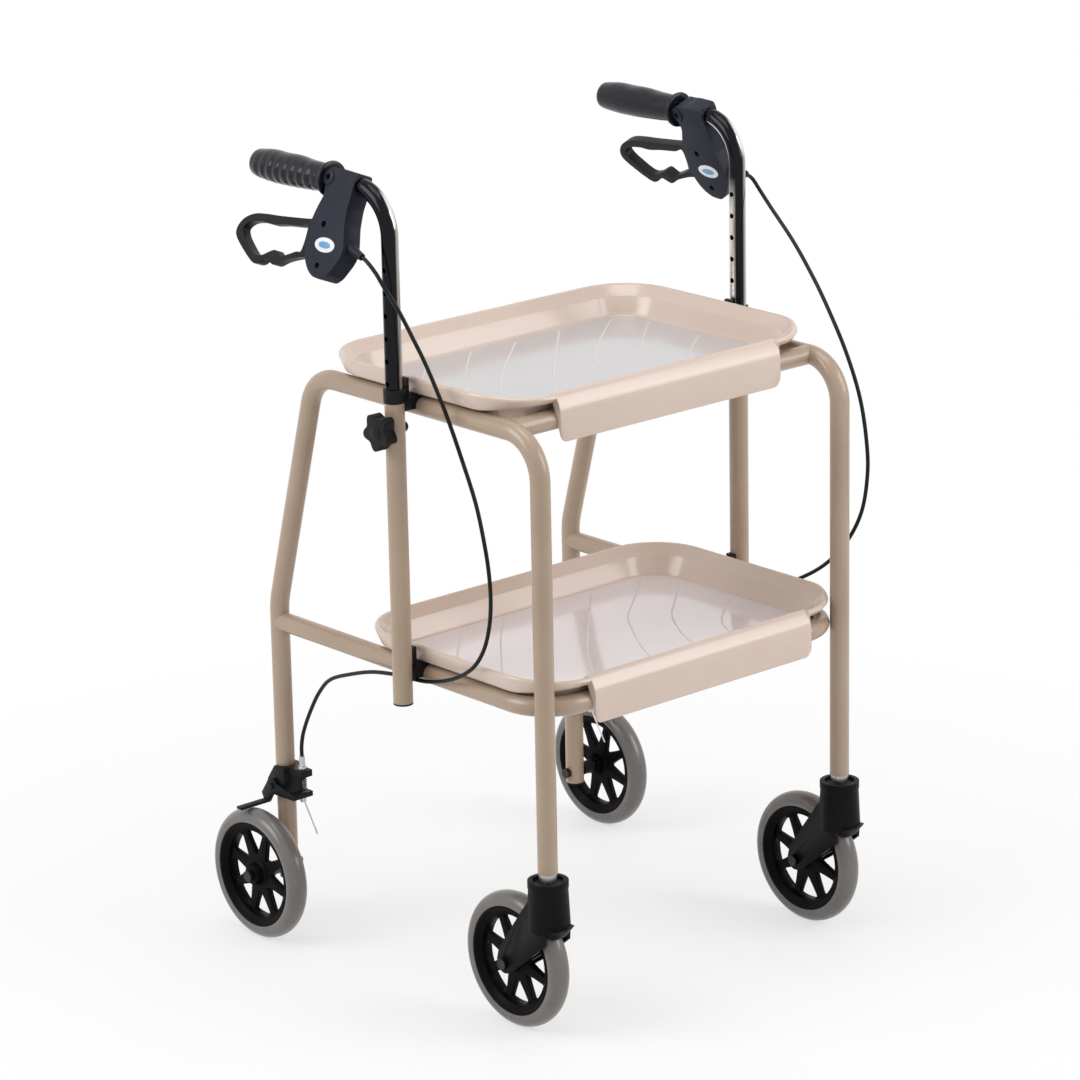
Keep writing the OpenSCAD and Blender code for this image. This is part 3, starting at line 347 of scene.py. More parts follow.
def join(target, source, finish=0):
    """Adds a drawing to another one and frees it."""
    for face in source.faces:
        face.material_index = finish
    bmesh.ops.recalc_face_normals(source, faces=source.faces)
    mesh = bpy.data.meshes.new("joined")
    source.to_mesh(mesh)
    source.free()
    target.from_mesh(mesh)
    bpy.data.meshes.remove(mesh)


def sharp_edges(bm, degrees):
    limit = math.radians(degrees)
    return [e for e in bm.edges if len(e.link_faces) == 2 and e.calc_face_angle(0) > limit]


def round_edges(bm, edges, width, segments=3):
    bmesh.ops.bevel(
        bm, geom=edges, offset=width, offset_type="OFFSET", affect="EDGES",
        segments=segments, profile=0.5, material=-1, clamp_overlap=True,
    )


def turned(profile, steps=48):
    """A shape turned about the x axis from (radius, x) points."""
    bm = bmesh.new()
    verts = [bm.verts.new((x, 0, r)) for r, x in profile]
    edges = [bm.edges.new(pair) for pair in zip(verts, verts[1:])]
    bmesh.ops.spin(
        bm, geom=verts + edges, cent=(0, 0, 0), axis=(1, 0, 0), dvec=(0, 0, 0),
        angle=math.tau, steps=steps, use_merge=True, use_duplicate=False,
    )
    bmesh.ops.remove_doubles(bm, verts=bm.verts, dist=1e-4)
    return bm


def loop_edges(bm, points, x, corner=0.0):
    """The edges of a closed outline of (y, z) points at a given x, with its corners rounded."""
    verts = [bm.verts.new((x, y, z)) for y, z in points]
    face = bm.faces.new(verts)
    if corner:
        made = bmesh.ops.bevel(
            bm, geom=verts, offset=corner, offset_type="OFFSET", affect="VERTICES",
            segments=4, profile=0.5, material=-1, clamp_overlap=True,
        )
        face = max(made["faces"] or bm.faces, key=lambda f: len(f.verts))
    edges = list(face.edges)
    bmesh.ops.delete(bm, geom=[face], context="FACES_ONLY")
    return edges


def ring_points(centre, radius, count=20, stretch=1.0):
    turns = [math.tau * k / count for k in range(count)]
    return [(centre[0] + radius * stretch * math.cos(t), centre[1] + radius * math.sin(t)) for t in turns]


def plate(outlines, x0, x1, corners, width, segments=3, far_width=0.0, crisp_holes=False):
    """A flat plate from x0 to x1 with outlines of (y, z) points, holes included, and rounded rims."""
    crisp = {(round(y, 3), round(z, 3)) for points in outlines[1:] for y, z in points} if crisp_holes else ()
    bm = bmesh.new()
    edges = []
    for points, corner in zip(outlines, corners):
        edges += loop_edges(bm, points, x0, corner)
    made = bmesh.ops.triangle_fill(bm, use_beauty=True, use_dissolve=False, edges=edges)
    faces = [g for g in made["geom"] if isinstance(g, bmesh.types.BMFace)]
    grown = bmesh.ops.extrude_face_region(bm, geom=faces)
    moved = [g for g in grown["geom"] if isinstance(g, bmesh.types.BMVert)]
    bmesh.ops.translate(bm, vec=(x1 - x0, 0, 0), verts=moved)
    bmesh.ops.recalc_face_normals(bm, faces=bm.faces)
    for x, size in ((x1, width), (x0, far_width)):
        if size:
            rim = [e for e in sharp_edges(bm, 50) if all(abs(v.co.x - x) < 1e-4 for v in e.verts)]
            rim = [e for e in rim if (round(e.verts[0].co.y, 3), round(e.verts[0].co.z, 3)) not in crisp]
            round_edges(bm, rim, size, segments)
    return bm


def shifted(bm, x=0.0, y=0.0, z=0.0):
    bmesh.ops.translate(bm, vec=(x, y, z), verts=bm.verts)
    return bm


def rounded_copy(node_name, body, width, finish=None):
    """A merged copy of a CAD node with its sharp edges rounded, in the node's place."""
    node = nodes[node_name]
    bm = bmesh.new()
    bm.from_mesh(node.data)
    bm.transform(node.matrix_world)
    bmesh.ops.remove_doubles(bm, verts=bm.verts, dist=1e-6)
    bmesh.ops.dissolve_limit(bm, angle_limit=math.radians(1), verts=bm.verts, edges=bm.edges)
    round_edges(bm, sharp_edges(bm, 40), width * MM, 2)
    slot_name = node_slot[node_name]
    finishes = [finish or SLOT_FINISH[slot_name]]
    return finish_piece(node_name + "_finish", bm, finishes, body, [node_name])


# Trays: rings of (distance outside the tube axis, height above it) round a rounded rectangle

TRAY_CORNER = 57.70
TRAY_X = 164.30
TRAY_BACK = 243.30
LIP_HALF = 162.3
LIP_CORNER = 9.0
RIM_DIP = 5.0
SKIRT_LIFT = 6.0
SKIRT_RINGS = range(15, 19)
TRAY_CREASE = 50
DIP_LOW = 14.0
DIP_SPAN = 20.0
DIP_DRAW = 1.5
FRONT_FROM = 0.25
CORNER_STEPS = 14
WALL_RINGS = (
    (-19.35, 0.5), (-16.85, 0.6), (-15.05, 2.2), (-13.75, 5), (-9.35, 14), (-5.75, 21.8),
    (-4.75, 23.2), (-2.75, 24.2), (-1, 25.7), (5.6, 31.8), (7.2, 33.2), (9.1, 34), (10.7, 33.3),
    (11.8, 31.4), (11.9, 29.2), (6.5, 15.6), (5.7, 14.2), (4.6, 14), (3.7, 14.9), (8.7, 28.6),
    (6.9, 28.8), (-0.6, 21.1), (-3.5, 20), (-10.5, 4.5), (-12.9, -2.3), (-17.35, -2.5),
)
LIP_RINGS = (
    (-19.35, 0.5), (-18, 0.6), (-15.75, 2), (-14.2, 5), (-10.35, 13.5), (-6.85, 20.6),
    (-5.75, 22.4), (-3.35, 25.2), (-1.15, 27.5), (1.25, 28.9), (2.95, 29), (5.25, 28.1),
    (7.65, 25.4), (12.25, 18.4), (14.25, 14.6), (15.05, 8), (15.5, -20.5), (14.25, -23),
    (12.75, -21), (11.85, 12), (9.15, 16.8), (2.95, 25), (-4, 20), (-11.8, 4.5), (-13, -2.3),
    (-17.35, -2.5),
)
LIP_STEPS = (0, 45, 90, 122, 140, 150, 154, 156.5, 158.5, 160, 161.3, LIP_HALF)
LOWER_LIP = range(15, 20)
FLOOR_LINES = (
    ((-88, 90), (-150, 25), (-190, -20)),
    ((48, 160), (-20, 93), (-88, 24), (-145, -43), (-190, -95)),
    ((54, 98), (8, 55), (-40, 12), (-94, -41), (-123, -74), (-165, -125)),
    ((109, 89), (33, 11), (-23, -48), (-64, -96), (-92, -134), (-115, -170)),
    ((169, 70), (101, 12), (61, -24), (30, -67), (-1, -116), (-25, -165)),
    ((194, 32), (140, -17), (104, -51), (80, -85), (60, -120), (40, -170)),
    ((195, -52), (170, -71), (135, -100), (115, -127), (100, -170)),
)
FLOOR_Z = 0.5
FLOOR_HALF_X = 196
FLOOR_FRONT = 22
FLOOR_BACK = 279
RIDGE_RISE = 0.6
RIDGE_STEP = 0.8


def tray_path():
    """Half of the path round the tray: centre, direction and how far into the front lip each place is."""
    half = [((x, TRAY_CORNER), (0, -1), 1.0) for x in LIP_STEPS]
    half.append(((LIP_HALF + 1.4, TRAY_CORNER), (0, -1), 0.0))
    for k in range(CORNER_STEPS + 1):
        turn = math.radians(-90 + 90 * k / CORNER_STEPS)
        half.append(((TRAY_X, TRAY_CORNER), (math.cos(turn), math.sin(turn)), 0.0))
    for y in (118, 183):
        half.append(((TRAY_X, y), (1, 0), 0.0))
    for k in range(CORNER_STEPS + 1):
        turn = math.radians(90 * k / CORNER_STEPS)
        half.append(((TRAY_X, TRAY_BACK), (math.cos(turn), math.sin(turn)), 0.0))
    for x in (112, 56, 0):
        half.append(((x, TRAY_BACK), (0, 1), 0.0))
    other = [((-c[0], c[1]), (-d[0], d[1]), lip) for c, d, lip in reversed(half[1:-1])]
    return half + other


def tray_place(spot, ring):
    """Where a ring of the tray passes a place on the path."""
    centre, way, lip = spot
    if lip:
        out, height = LIP_RINGS[ring]
        past = abs(centre[0]) - (LIP_HALF - LIP_CORNER)
        if past > 0 and ring in LOWER_LIP and height < 0:
            height += LIP_CORNER - math.sqrt(max(0.0, LIP_CORNER ** 2 - past ** 2))
    else:
        out, height = WALL_RINGS[ring]
        forward = max(0.0, -way[1] - FRONT_FROM) / (1 - FRONT_FROM)
        share = forward * max(0.0, min(1.0, (height - DIP_LOW) / DIP_SPAN))
        height -= RIM_DIP * share
        out -= DIP_DRAW * share
        if ring in SKIRT_RINGS:
            height += SKIRT_LIFT * forward
    reach = TRAY_CORNER + out
    return Vector((centre[0] + way[0] * reach, centre[1] + way[1] * reach, height))


def tray(name, front_y, rail_z, body, node_name, floor_finish):
    bm = bmesh.new()
    path = tray_path()
    ring = [bm.verts.new(tray_place(spot, 0)) for spot in path]
    floor = bm.faces.new(ring)
    edges = list(floor.edges)
    for step in range(1, len(WALL_RINGS)):
        grown = bmesh.ops.extrude_edge_only(bm, edges=edges)["geom"]
        fresh = [g for g in grown if isinstance(g, bmesh.types.BMVert)]
        near = {tuple(round(c, 3) for c in v.co): v for v in fresh}
        ring = [near[tuple(round(c, 3) for c in v.co)] for v in ring]
        for vert, spot in zip(ring, path):
            vert.co = tray_place(spot, step)
        edges = [g for g in grown if isinstance(g, bmesh.types.BMEdge) and set(g.verts) <= set(ring)]
    bm.faces.new(ring)
    for face in bm.faces:
        face.material_index = int(all(0 < v.co.z < 1 for v in face.verts))
    for points in FLOOR_LINES:
        floor_line(bm, points)
    shifted(bm, y=front_y, z=rail_z)
    in_metres(bm)
    # The third finish, on the floor ridges, is a painted highlight
    finishes = [tray_plastic, floor_finish, ridge_highlight_finish]
    finish_piece(name, bm, finishes, body, [node_name], TRAY_CREASE)


def floor_line(bm, points):
    """A low moulded line across the tray floor, a ridge of two faces in a paler finish that is a painted
    highlight.
    """
    spots = [(p.x, p.y - CROSSBAR_Y) for p in along([(*p, 0) for p in points], 8)]
    inside = [(x, y) for x, y in spots if abs(x) < FLOOR_HALF_X and FLOOR_FRONT < y < FLOOR_BACK]
    verts = [bm.verts.new((x, y, FLOOR_Z)) for x, y in inside]
    edges = [bm.edges.new(pair) for pair in zip(verts, verts[1:])]
    for rise in (RIDGE_RISE, -RIDGE_RISE):
        grown = bmesh.ops.extrude_edge_only(bm, edges=edges)["geom"]
        fresh = [g for g in grown if isinstance(g, bmesh.types.BMVert)]
        bmesh.ops.translate(bm, vec=(RIDGE_STEP, -RIDGE_STEP, rise), verts=fresh)
        edges = [g for g in grown if isinstance(g, bmesh.types.BMEdge) and set(g.verts) <= set(fresh)]
        # The ridge faces take the third finish, the painted highlight
        for vert in fresh:
            for face in vert.link_faces:
                face.material_index = 2


def along(points, count):
    """Places on a smooth curve through points, evenly shared out between them."""
    spots = []
    last = len(points) - 1
    for k in range(last):
        p0, p1, p2, p3 = (Vector(points[min(max(k + j, 0), last)]) for j in (-1, 0, 1, 2))
        for step in range(count):
            t = step / count
            spots.append(
                0.5 * (2 * p1 + (p2 - p0) * t + (2 * p0 - 5 * p1 + 4 * p2 - p3) * t ** 2
                       + (3 * p1 - p0 - 3 * p2 + p3) * t ** 3)
            )
    spots.append(Vector(points[-1]))
    return spots


tray("upper_tray_moulding", CROSSBAR_Y, TOP_RAIL_Z, "upper_tray_body", "upper_tray", tray_floor)
tray("lower_tray_moulding", FRONT_Y, LOW_RAIL_Z, "lower_tray_body", "lower_tray", lower_floor_painted_light)


# Grips: turned, then given the shallow finger bumps of the outer side

GRIP_PROFILE = (
    (9.7, 0), (18.4, 0), (19.6, 0.7), (20, 2.2), (19.5, 3.9), (16.6, 5), (15, 7.2), (14.9, 10), (15.3, 16),
    (16.2, 28), (17.2, 50), (17.9, 72), (17.9, 92), (17.2, 106), (16.4, 116), (15.8, 122), (15, 125.8),
    (13.4, 127.6), (11.5, 128), (0, 128),
)
PROFILE_STEP = 2.6
BUMPS_FROM = 9.0
BUMPS_TO = 124.0
FINGER_PITCH = 12.5
FINGER_RISE = 0.85
PALM_PITCH = 46.0
PALM_RISE = 0.5


def grip_profile():
    spots = [Vector(p) for p in GRIP_PROFILE]
    fine = []
    for here, there in zip(spots, spots[1:]):
        count = max(1, round((there - here).length / PROFILE_STEP)) if there.x > 10 else 1
        fine += [here.lerp(there, k / count) for k in range(count)]
    return fine + [spots[-1]]


def grip(side_name, side):
    bm = turned([tuple(p) for p in grip_profile()], 64)
    for vert in bm.verts:
        along_grip = vert.co.x
        if not BUMPS_FROM < along_grip < BUMPS_TO:
            continue
        radius = math.hypot(vert.co.y, vert.co.z)
        turn = math.degrees(math.atan2(vert.co.z, -vert.co.y))
        fade = min(1.0, (along_grip - BUMPS_FROM) / 14, (BUMPS_TO - along_grip) / 8)
        outer = math.exp(-((turn + 8) / 48) ** 2)
        ripple = math.sin(math.tau * along_grip / FINGER_PITCH + 0.5 * math.sin(math.radians(3 * turn)))
        broad = math.exp(-((turn - 96) / 34) ** 2) * math.sin(math.tau * along_grip / PALM_PITCH)
        change = fade * (FINGER_RISE * outer * ripple + PALM_RISE * broad)
        vert.co.y *= (radius + change) / radius
        vert.co.z *= (radius + change) / radius
    bmesh.ops.rotate(bm, cent=(0, 0, 0), matrix=Matrix.Rotation(math.radians(90), 3, "Z"), verts=bm.verts)
    shifted(bm, POST_X, GRIP_FRONT_Y, GRIP_Z)
    in_metres(bm, side)
    finish_piece(
        f"grip_{side_name}_rubber", bm, [grip_rubber], f"handle_{side_name}",
        [f"hand_grip_{side_name}"])


# Brake housings: outer plates over a middle layer with the lever's pocket, measured from post and grip

HOUSING = (
    (44, 12), (68, 13), (75, 12), (83, 13), (90, 9), (92, 2), (88, -10), (86, -18), (92, -34), (95.5, -48),
    (96.5, -64), (93.5, -80), (88.5, -91), (81, -100), (71, -106), (56, -107.5), (47, -101), (36, -84),
    (32.5, -74), (34, -66), (41.5, -44), (44, -26), (43, -11),
)
HOUSING_MIDDLE = (
    (44, 12), (68, 13), (75, 12), (83, 13), (90, 9), (92, 2), (88, -10), (86, -18), (90.5, -30), (74, -33),
    (63, -37), (59, -48), (61, -58), (66, -66), (78, -84), (88, -89), (88, -91), (81, -100), (71, -106),
    (56, -107.5), (47, -101), (36, -84), (32.5, -74), (34, -66), (41.5, -44), (44, -26), (43, -11),
)
HOUSING_HALF = 12.0
POCKET_HALF = 6.5
LEVER_PIN = (74, -49)
BODY_SCREW = (67, -93.5)
CLAMP_SCREW = (86, 1)
BADGE = (63, -70.5)
NOZZLE_TOP = (38, -66.5)
NOZZLE_SLANT = 15.0
HOUSING_ROUND = 4.4
CLAMP_BOSS = ((0.2, 8), (3, 8), (3, 12.6), (3.6, 13.6), (7.4, 13.6), (8.6, 12.8), (9, 11.4), (9, 6))
SPOUT = ((2.6, 26), (3.6, 26), (4, 25.4), (4.4, 20), (5.4, 10), (6.6, 2), (0.2, -4))
SCREW_HEADS = ((LEVER_PIN, 9.2), (BODY_SCREW, 9.6))
BADGE_OVALS = ((1, 16, 8, 0.7), (2, 9.5, 3.6, 1.1))


def to_handle(bm, side):
    """Tilts a drawing of the brake unit outward and moves it from post and grip axis to its place."""
    tilt = Matrix.Rotation(math.radians(-BRAKE_TILT), 3, "Y")
    bmesh.ops.rotate(bm, cent=(0, 0, 0), matrix=tilt, verts=bm.verts)
    shifted(bm, POST_X, POST_Y, GRIP_Z)
    in_metres(bm, side)


def housing(side_name, side):
    bm = bmesh.new()
    holes = [ring_points(LEVER_PIN, 3.7), ring_points(BODY_SCREW, 3.4), ring_points(CLAMP_SCREW, 3.2)]
    for face in (-1, 1):
        outer = plate(
            [HOUSING, *holes], face * POCKET_HALF, face * HOUSING_HALF, (5, 0, 0, 0), HOUSING_ROUND, 5,
            crisp_holes=True)
        join(bm, outer)
    middle = plate([HOUSING_MIDDLE], -POCKET_HALF - 0.2, POCKET_HALF + 0.2, (3,), 0)
    bmesh.ops.scale(middle, vec=(1, 0.998, 0.998), verts=middle.verts)
    join(bm, middle)
    for face in (-1, 1):
        ring = turned(CLAMP_BOSS, 40)
        bmesh.ops.scale(ring, vec=(face, 1, 1), verts=ring.verts)
        join(bm, shifted(ring, 0, *CLAMP_SCREW))
        for place, depth in SCREW_HEADS:
            head = turned((
                (0, depth - 1.4), (1.3, depth - 1.4), (1.5, depth),
                (3.0, depth), (3.55, depth - 0.5), (3.55, 6),
            ), 24)
            bmesh.ops.scale(head, vec=(face, 1, 1), verts=head.verts)
            join(bm, shifted(head, 0, *place), 3)
        for finish, half_y, half_z, lift in BADGE_OVALS:
            outline = ring_points((0, 0), half_z, 40, half_y / half_z)
            oval = plate([outline], HOUSING_HALF - 0.2, HOUSING_HALF + lift, (0,), 0.35, 2)
            bmesh.ops.scale(oval, vec=(face, 1, 1), verts=oval.verts)
            join(bm, shifted(oval, 0, *BADGE), finish)
    spout = turned(SPOUT, 32)
    for degrees, axis in ((-90, "Z"), (NOZZLE_SLANT, "X")):
        swing = Matrix.Rotation(math.radians(degrees), 3, axis)
        bmesh.ops.rotate(spout, cent=(0, 0, 0), matrix=swing, verts=spout.verts)
    join(bm, shifted(spout, 0, *NOZZLE_TOP))
    to_handle(bm, side)
    pieces = ("brake_housing", "housing_cover", "housing_screws", "lever_pin")
    covered = [f"{piece}_{side_name}" for piece in pieces]
    finishes = [housing_plastic, badge_white, badge_blue, black_steel]
    finish_piece(
        f"housing_{side_name}_shell", bm, finishes, f"handle_{side_name}", covered)


# Levers: a looped blade

LEVER_OUTER = (
    (64, -54), (64, -44), (70, -39.5), (80, -39), (90, -41), (100, -46), (150, -51), (180, -53), (199, -56),
    (214, -64), (221, -76), (215, -87), (184, -106), (171, -107), (160, -100), (145, -104.5), (130, -97),
    (109, -90), (93, -87), (84, -80), (72, -62),
)
LEVER_INNER = (
    (106, -54), (120, -57), (145, -59.5), (165, -62.5), (182, -62), (200, -65), (210, -72), (209, -78),
    (200, -86), (181, -98), (168, -97), (158, -92), (149, -88.5), (142, -92), (137, -94), (126, -89.5),
    (114, -84.5), (106, -81),
)
LEVER_T = 12.0
LEVER_GAP = 0.3
LEVER_ROUND = 2.8


def smooth_loop(points, count):
    """A closed outline through points with its corners drawn as curves."""
    last = len(points)
    ring = [*points[-2:], *points, *points[:2]]
    drawn = along([(*p, 0) for p in ring], count)
    return [tuple(p)[:2] for p in drawn[2 * count:(2 + last) * count]]


def lever(side_name, side):
    outlines = [smooth_loop(LEVER_OUTER, 5), smooth_loop(LEVER_INNER, 5)]
    half = LEVER_T / 2 - LEVER_GAP
    bm = plate(outlines, -half, half, (0, 0), LEVER_ROUND, 4, LEVER_ROUND)
    to_handle(bm, side)
    finish_piece(
        f"lever_{side_name}_loop", bm, [black_plastic], f"lever_{side_name}",
        [f"brake_lever_{side_name}"])


for side_name, side in SIDES:
    grip(side_name, side)
    housing(side_name, side)
    lever(side_name, side)


# Clamp knobs: five lobes, a raised middle and the screw's end

KNOB_LOBES = 5
KNOB_STEPS = 80
KNOB_MEAN_R = 18.0
KNOB_WAVE = 3.0
KNOB_REST = math.radians(14)
KNOB_FACE = 266.5
KNOB_DISC = 268.5
KNOB_END = 284.5


def knob(side_name, side):
    turns = [math.tau * k / KNOB_STEPS for k in range(KNOB_STEPS)]
    reach = [KNOB_MEAN_R + KNOB_WAVE * math.cos(KNOB_LOBES * (t + KNOB_REST)) for t in turns]
    outline = [(r * math.cos(t), r * math.sin(t)) for r, t in zip(reach, turns)]
    bm = plate([outline], KNOB_DISC, KNOB_END - 1.5, (0,), 4, 4, 1.5)
    join(bm, turned([(0, KNOB_END), (6, KNOB_END - 0.2), (8.4, KNOB_END - 1), (9, KNOB_END - 2.5)], 32))
    join(bm, turned([(4.2, KNOB_FACE), (9.4, KNOB_FACE), (10, KNOB_FACE + 0.6), (10, KNOB_DISC + 0.5)], 32))
    shifted(bm, 0, POST_Y, KNOB_Z)
    in_metres(bm, side)
    finish_piece(
        f"knob_{side_name}_star", bm, [black_plastic], f"knob_{side_name}",
        [f"height_knob_{side_name}"])


# Wheels: a web with eight kite-shaped gaps between rim and boss, and a rounded tyre

SPOKES = 8
SPOKE_TURN = math.radians(84)
RIM_IN = 52.0
RIM_OUT = 62.2
WEB_HALF = 3.4
RIM_SECTION = (
    (RIM_IN, -7.5), (RIM_IN - 0.6, -6.6), (RIM_IN - 0.6, 6.6), (RIM_IN, 7.5), (RIM_OUT - 2.4, 11.8),
    (RIM_OUT, 11.4), (RIM_OUT, -11.4), (RIM_OUT - 2.4, -11.8), (RIM_IN, -7.5),
)
BOSS = ((4.2, 13.9), (5.4, 14.4), (9.6, 14.4), (11, 13.8), (11.8, 12.4), (13, 6), (16, WEB_HALF))
KITE = ((21, 0), (33, -7.2), (46.4, -14.2), (50.2, -8.4), (51, 0), (50.2, 8.4), (46.4, 14.2), (33, 7.2))
KITE_ROUND = 2.2
WEB_ROUND = 1.2
TYRE_SEAT = 61.9
TYRE_MID = 63.4
TYRE_FOOT = 11.6
TYRE_HALF = 13.0


def wheel(where, side_name, side, centre, body):
    bm = turned(RIM_SECTION, 96)
    gaps = []
    for k in range(SPOKES):
        turn = math.tau * k / SPOKES + SPOKE_TURN
        c, s = math.cos(turn), math.sin(turn)
        gaps.append([(u * c - v * s, u * s + v * c) for u, v in KITE])
    rounding = (0,) + (KITE_ROUND,) * SPOKES
    disc = ring_points((0, 0), RIM_IN + 2, 96)
    join(bm, plate([disc, *gaps], -WEB_HALF, WEB_HALF, rounding, WEB_ROUND, 3, WEB_ROUND))
    for face in (-1, 1):
        cup = turned(BOSS, 48)
        bmesh.ops.scale(cup, vec=(face, 1, 1), verts=cup.verts)
        join(bm, cup)
    shifted(bm, *centre)
    in_metres(bm, side)
    finish_piece(
        f"{where}_wheel_{side_name}_web", bm, [wheel_plastic], body,
        [f"{where}_hub_{side_name}"])
    tread = [(TYRE_SEAT, -TYRE_FOOT)]
    for k in range(19):
        turn = math.radians(-78 + 156 * k / 18)
        rise = (WHEEL_R - TYRE_MID) * math.cos(turn) ** 0.8
        tread.append((TYRE_MID + rise, TYRE_HALF * math.sin(turn)))
    tread.append((TYRE_SEAT, TYRE_FOOT))
    bm = turned(tread, 128)
    shifted(bm, *centre)
    in_metres(bm, side)
    finish_piece(
        f"{where}_tyre_{side_name}_ring", bm, [tyre_rubber], body,
        [f"{where}_tyre_{side_name}"])


for side_name, side in SIDES:
    knob(side_name, side)
    wheel("rear", side_name, side, (REAR_WHEEL_X, REAR_Y, WHEEL_R), f"rear_wheel_{side_name}")
    wheel("castor", side_name, side, (HALF_W, CASTOR_Y, WHEEL_R), f"front_wheel_{side_name}")


# Pieces that keep the CAD shape, with their edges rounded

ROUNDED = (
    ("receiver_saddles", "frame", 1.2), ("receiver_collars", "frame", 1.0), ("tube_end_plugs", "frame", 0.8),
    ("knob_end_caps", "frame", 1.2), ("bracket_screws", "frame", 0.5), ("cable_adjusters", "frame", 0.3),
)
SIDED = (
    ("brake_bracket", "frame", 1.0, None), ("castor_fork", "castor", 1.4, fork_plastic),
    ("brake_arm", "arm", 0.8, None),
)
for node_name, body, width in ROUNDED:
    rounded_copy(node_name, body, width)
for side_name, side in SIDES:
    for node_name, body, width, finish in SIDED:
        owner = body if body == "frame" else f"{body}_{side_name}"
        rounded_copy(f"{node_name}_{side_name}", owner, width, finish)


# Brake cables along their real route, one sweep through the same points as the CAD, in millimetres

CABLE_R = 2.25
CABLE_START = (282.43, -42.11, 845.10)
CABLE_LOW = (
    (238.5, -54, 367), (238, -26, 365), (236, 20, 357), (233, 64, 343), (229, 105, 326), (226, 130, 304),
    (224, 150, 276), (222, 166, 248), (222, 171, 230), (222, 171.5, 216.5),
)
CABLE_TOP = {
    "right": (
        CABLE_START, (283, -50.5, 841.5), (282, -62.5, 831.5), (281, -73, 819.5),
        (275, -89.5, 795), (265, -101.5, 763),
        (254.5, -111.5, 730), (244, -127, 681.5), (243, -149.5, 636.5), (243, -171, 591), (243, -184.5, 544),
        (243, -190, 512), (243, -191, 484.5), (243, -187.5, 458), (243, -178, 431), (243, -161, 408),
        (241.5, -134.5, 390), (240, -106.5, 378), (238.5, -78, 370),
    ),
    "left": (
        CABLE_START, (283, -50.5, 841.5), (283, -61.5, 831), (280.5, -83.5, 813), (271.5, -126.5, 784.5),
        (260.5, -166, 756), (250.5, -200.5, 727), (243, -239.5, 680), (243, -262, 629), (243, -272.5, 576),
        (243, -272.5, 539), (243, -264, 500), (243, -244.5, 465), (242.5, -217.5, 435), (242, -185, 411),
        (241, -140, 388), (239, -90, 373),
    ),
}


def tube_along(points, radius, sides=14):
    """A round bar swept along points: one ring, extruded from place to place."""
    bm = bmesh.new()
    spots = [Vector(p) for p in points]
    ways = [(b - a).normalized() for a, b in zip(spots, spots[1:])]
    tangents = [ways[0], *[(a + b).normalized() for a, b in zip(ways, ways[1:])], ways[-1]]
    turn = tangents[0].to_track_quat("Z", "Y")
    ring = bmesh.ops.create_circle(bm, cap_ends=True, radius=radius, segments=sides)["verts"]
    bmesh.ops.transform(bm, matrix=Matrix.Translation(spots[0]) @ turn.to_matrix().to_4x4(), verts=ring)
    face = bm.faces[:][0]
    for k in range(1, len(spots)):
        grown = bmesh.ops.extrude_discrete_faces(bm, faces=[face])
        face = grown["faces"][0]
        swing = tangents[k - 1].rotation_difference(tangents[k])
        bmesh.ops.translate(bm, vec=spots[k] - spots[k - 1], verts=face.verts)
        bmesh.ops.rotate(bm, cent=spots[k], matrix=swing.to_matrix(), verts=face.verts)
    return bm


for side_name, side in SIDES:
    route = along((*CABLE_TOP[side_name], *CABLE_LOW), 6)
    bm = tube_along(route, CABLE_R)
    in_metres(bm, side)
    cable = finish_piece(
        f"brake_cable_{side_name}_sheath", bm, [cable_sheath], None,
        [f"brake_cable_{side_name}"])
    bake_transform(cable)


# Return springs under the cable adjusters

SPRING_LOW = 174.5
SPRING_TOP = 191.5
SPRING_R = 4.2
SPRING_WIRE = 0.6
SPRING_TURNS = 6

for side_name, side in SIDES:
    coil = []
    steps = SPRING_TURNS * 24
    for k in range(steps + 1):
        turn = math.tau * k / 24
        rise = SPRING_WIRE + (SPRING_TOP - SPRING_LOW - 2 * SPRING_WIRE) * k / steps
        coil.append((
            HALF_W + SPRING_R * math.cos(turn), WIRE_Y + SPRING_R * math.sin(turn), SPRING_LOW + rise))
    bm = tube_along(coil, SPRING_WIRE, 8)
    in_metres(bm, side)
    spring = finish_piece(
        f"brake_spring_{side_name}_coil", bm, [black_steel], None,
        [f"brake_spring_{side_name}"])
    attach(spring, "frame")
    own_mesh(spring)


# Stage and light

FLOOR_HALF = 30
FLOOR_PALE = ((0.86, 0.86, 0.86), (0.9, 0.9, 0.9))
FLOOR_GLOW_FROM = 0.35
FLOOR_GLOW_TO = 1.1
FLOOR_GLOW_NEAR = 0.62
FLOOR_GLOW_FAR = 1.0
WORLD_LIGHT = 0.5
WORLD_SEEN = 1.0


def seen_rays(tree):
    """One for the rays that show a surface, directly or in a mirror, and nought for those that only light."""
    path = tree.nodes.new("ShaderNodeLightPath")
    seen = path.outputs["Is Camera Ray"]
    for kind in ("Is Glossy Ray", "Is Transmission Ray"):
        seen = joined(tree, "MAXIMUM", seen, path.outputs[kind])
    return seen


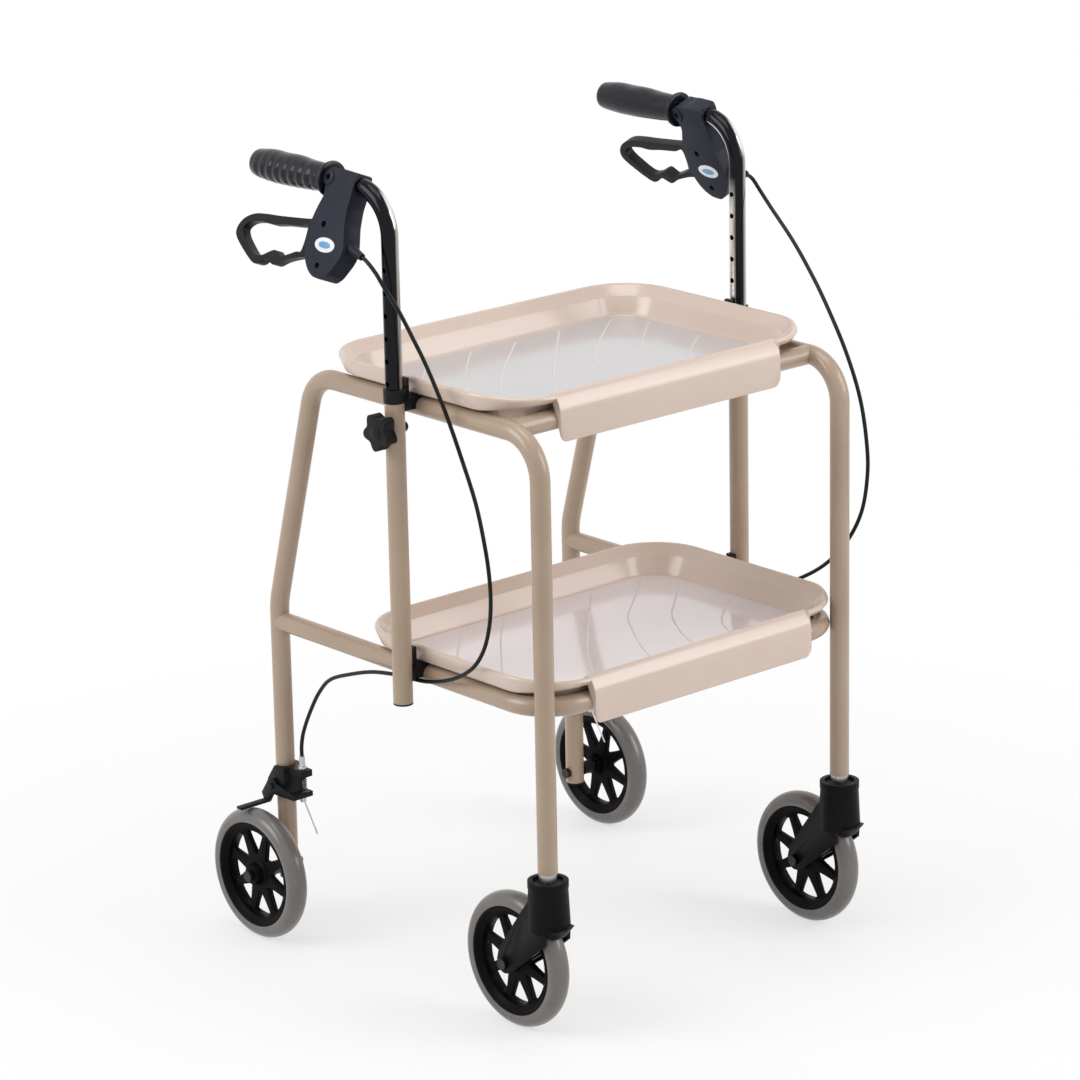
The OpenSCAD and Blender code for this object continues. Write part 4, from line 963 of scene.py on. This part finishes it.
def set_stage():
    floor_mesh = bpy.data.meshes.new("floor")
    bm = bmesh.new()
    bmesh.ops.create_grid(bm, x_segments=1, y_segments=1, size=FLOOR_HALF)
    bm.to_mesh(floor_mesh)
    bm.free()
    floor = bpy.data.objects.new("floor", floor_mesh)
    scene.collection.objects.link(floor)
    material, tree, shader = new_material("pale_floor")
    noise = object_noise(tree, 3)
    tree.links.new(ramp(tree, noise.outputs["Fac"], *FLOOR_PALE), shader.inputs["Base Color"])
    shader.inputs["Roughness"].default_value = 0.7
    place = tree.nodes.new("ShaderNodeTexCoord")
    length = tree.nodes.new("ShaderNodeVectorMath")
    length.operation = "LENGTH"
    share = tree.nodes.new("ShaderNodeMapRange")
    share.inputs["From Min"].default_value = FLOOR_GLOW_FROM
    share.inputs["From Max"].default_value = FLOOR_GLOW_TO
    share.inputs["To Min"].default_value = FLOOR_GLOW_NEAR
    share.inputs["To Max"].default_value = FLOOR_GLOW_FAR
    glow = tree.nodes.new("ShaderNodeEmission")
    mix = tree.nodes.new("ShaderNodeMixShader")
    tree.links.new(place.outputs["Object"], length.inputs[0])
    tree.links.new(length.outputs["Value"], share.inputs["Value"])
    seen = joined(tree, "MULTIPLY", share.outputs["Result"], seen_rays(tree))
    tree.links.new(seen, mix.inputs["Fac"])
    tree.links.new(shader.outputs["BSDF"], mix.inputs[1])
    tree.links.new(glow.outputs["Emission"], mix.inputs[2])
    tree.links.new(mix.outputs["Shader"], tree.nodes["Material Output"].inputs["Surface"])
    floor_mesh.materials.append(material)
    world = bpy.data.worlds.new("studio")
    world.use_nodes = True
    scene.world = world
    tree = world.node_tree
    background = tree.nodes["Background"]
    strength = tree.nodes.new("ShaderNodeMapRange")
    strength.inputs["To Min"].default_value = WORLD_LIGHT
    strength.inputs["To Max"].default_value = WORLD_SEEN
    tree.links.new(seen_rays(tree), strength.inputs["Value"])
    tree.links.new(strength.outputs["Result"], background.inputs["Strength"])
    background.inputs["Color"].default_value = (1, 1, 1, 1)


def add_lamp(name, place, aim, size, watts):
    data = bpy.data.lights.new(name, "AREA")
    data.shape = "RECTANGLE"
    data.size, data.size_y = size
    data.energy = watts
    lamp = bpy.data.objects.new(name, data)
    direction = Vector(aim) - Vector(place)
    turn = direction.to_track_quat("-Z", "Y").to_matrix().to_4x4()
    lamp.matrix_world = Matrix.Translation(place) @ turn
    scene.collection.objects.link(lamp)


set_stage()
add_lamp("left_lamp", (-2.6, 0.9, 2.3), (0, 0, 0.5), (1.8, 1.8), 46)
add_lamp("right_lamp", (1.5, -2.3, 1.9), (0, 0, 0.45), (1.6, 1.8), 38)
add_lamp("top_lamp", (-0.2, -0.1, 3.4), (0, 0, 0.5), (1.6, 1.6), 24)

scene.view_settings.view_transform = "Standard"
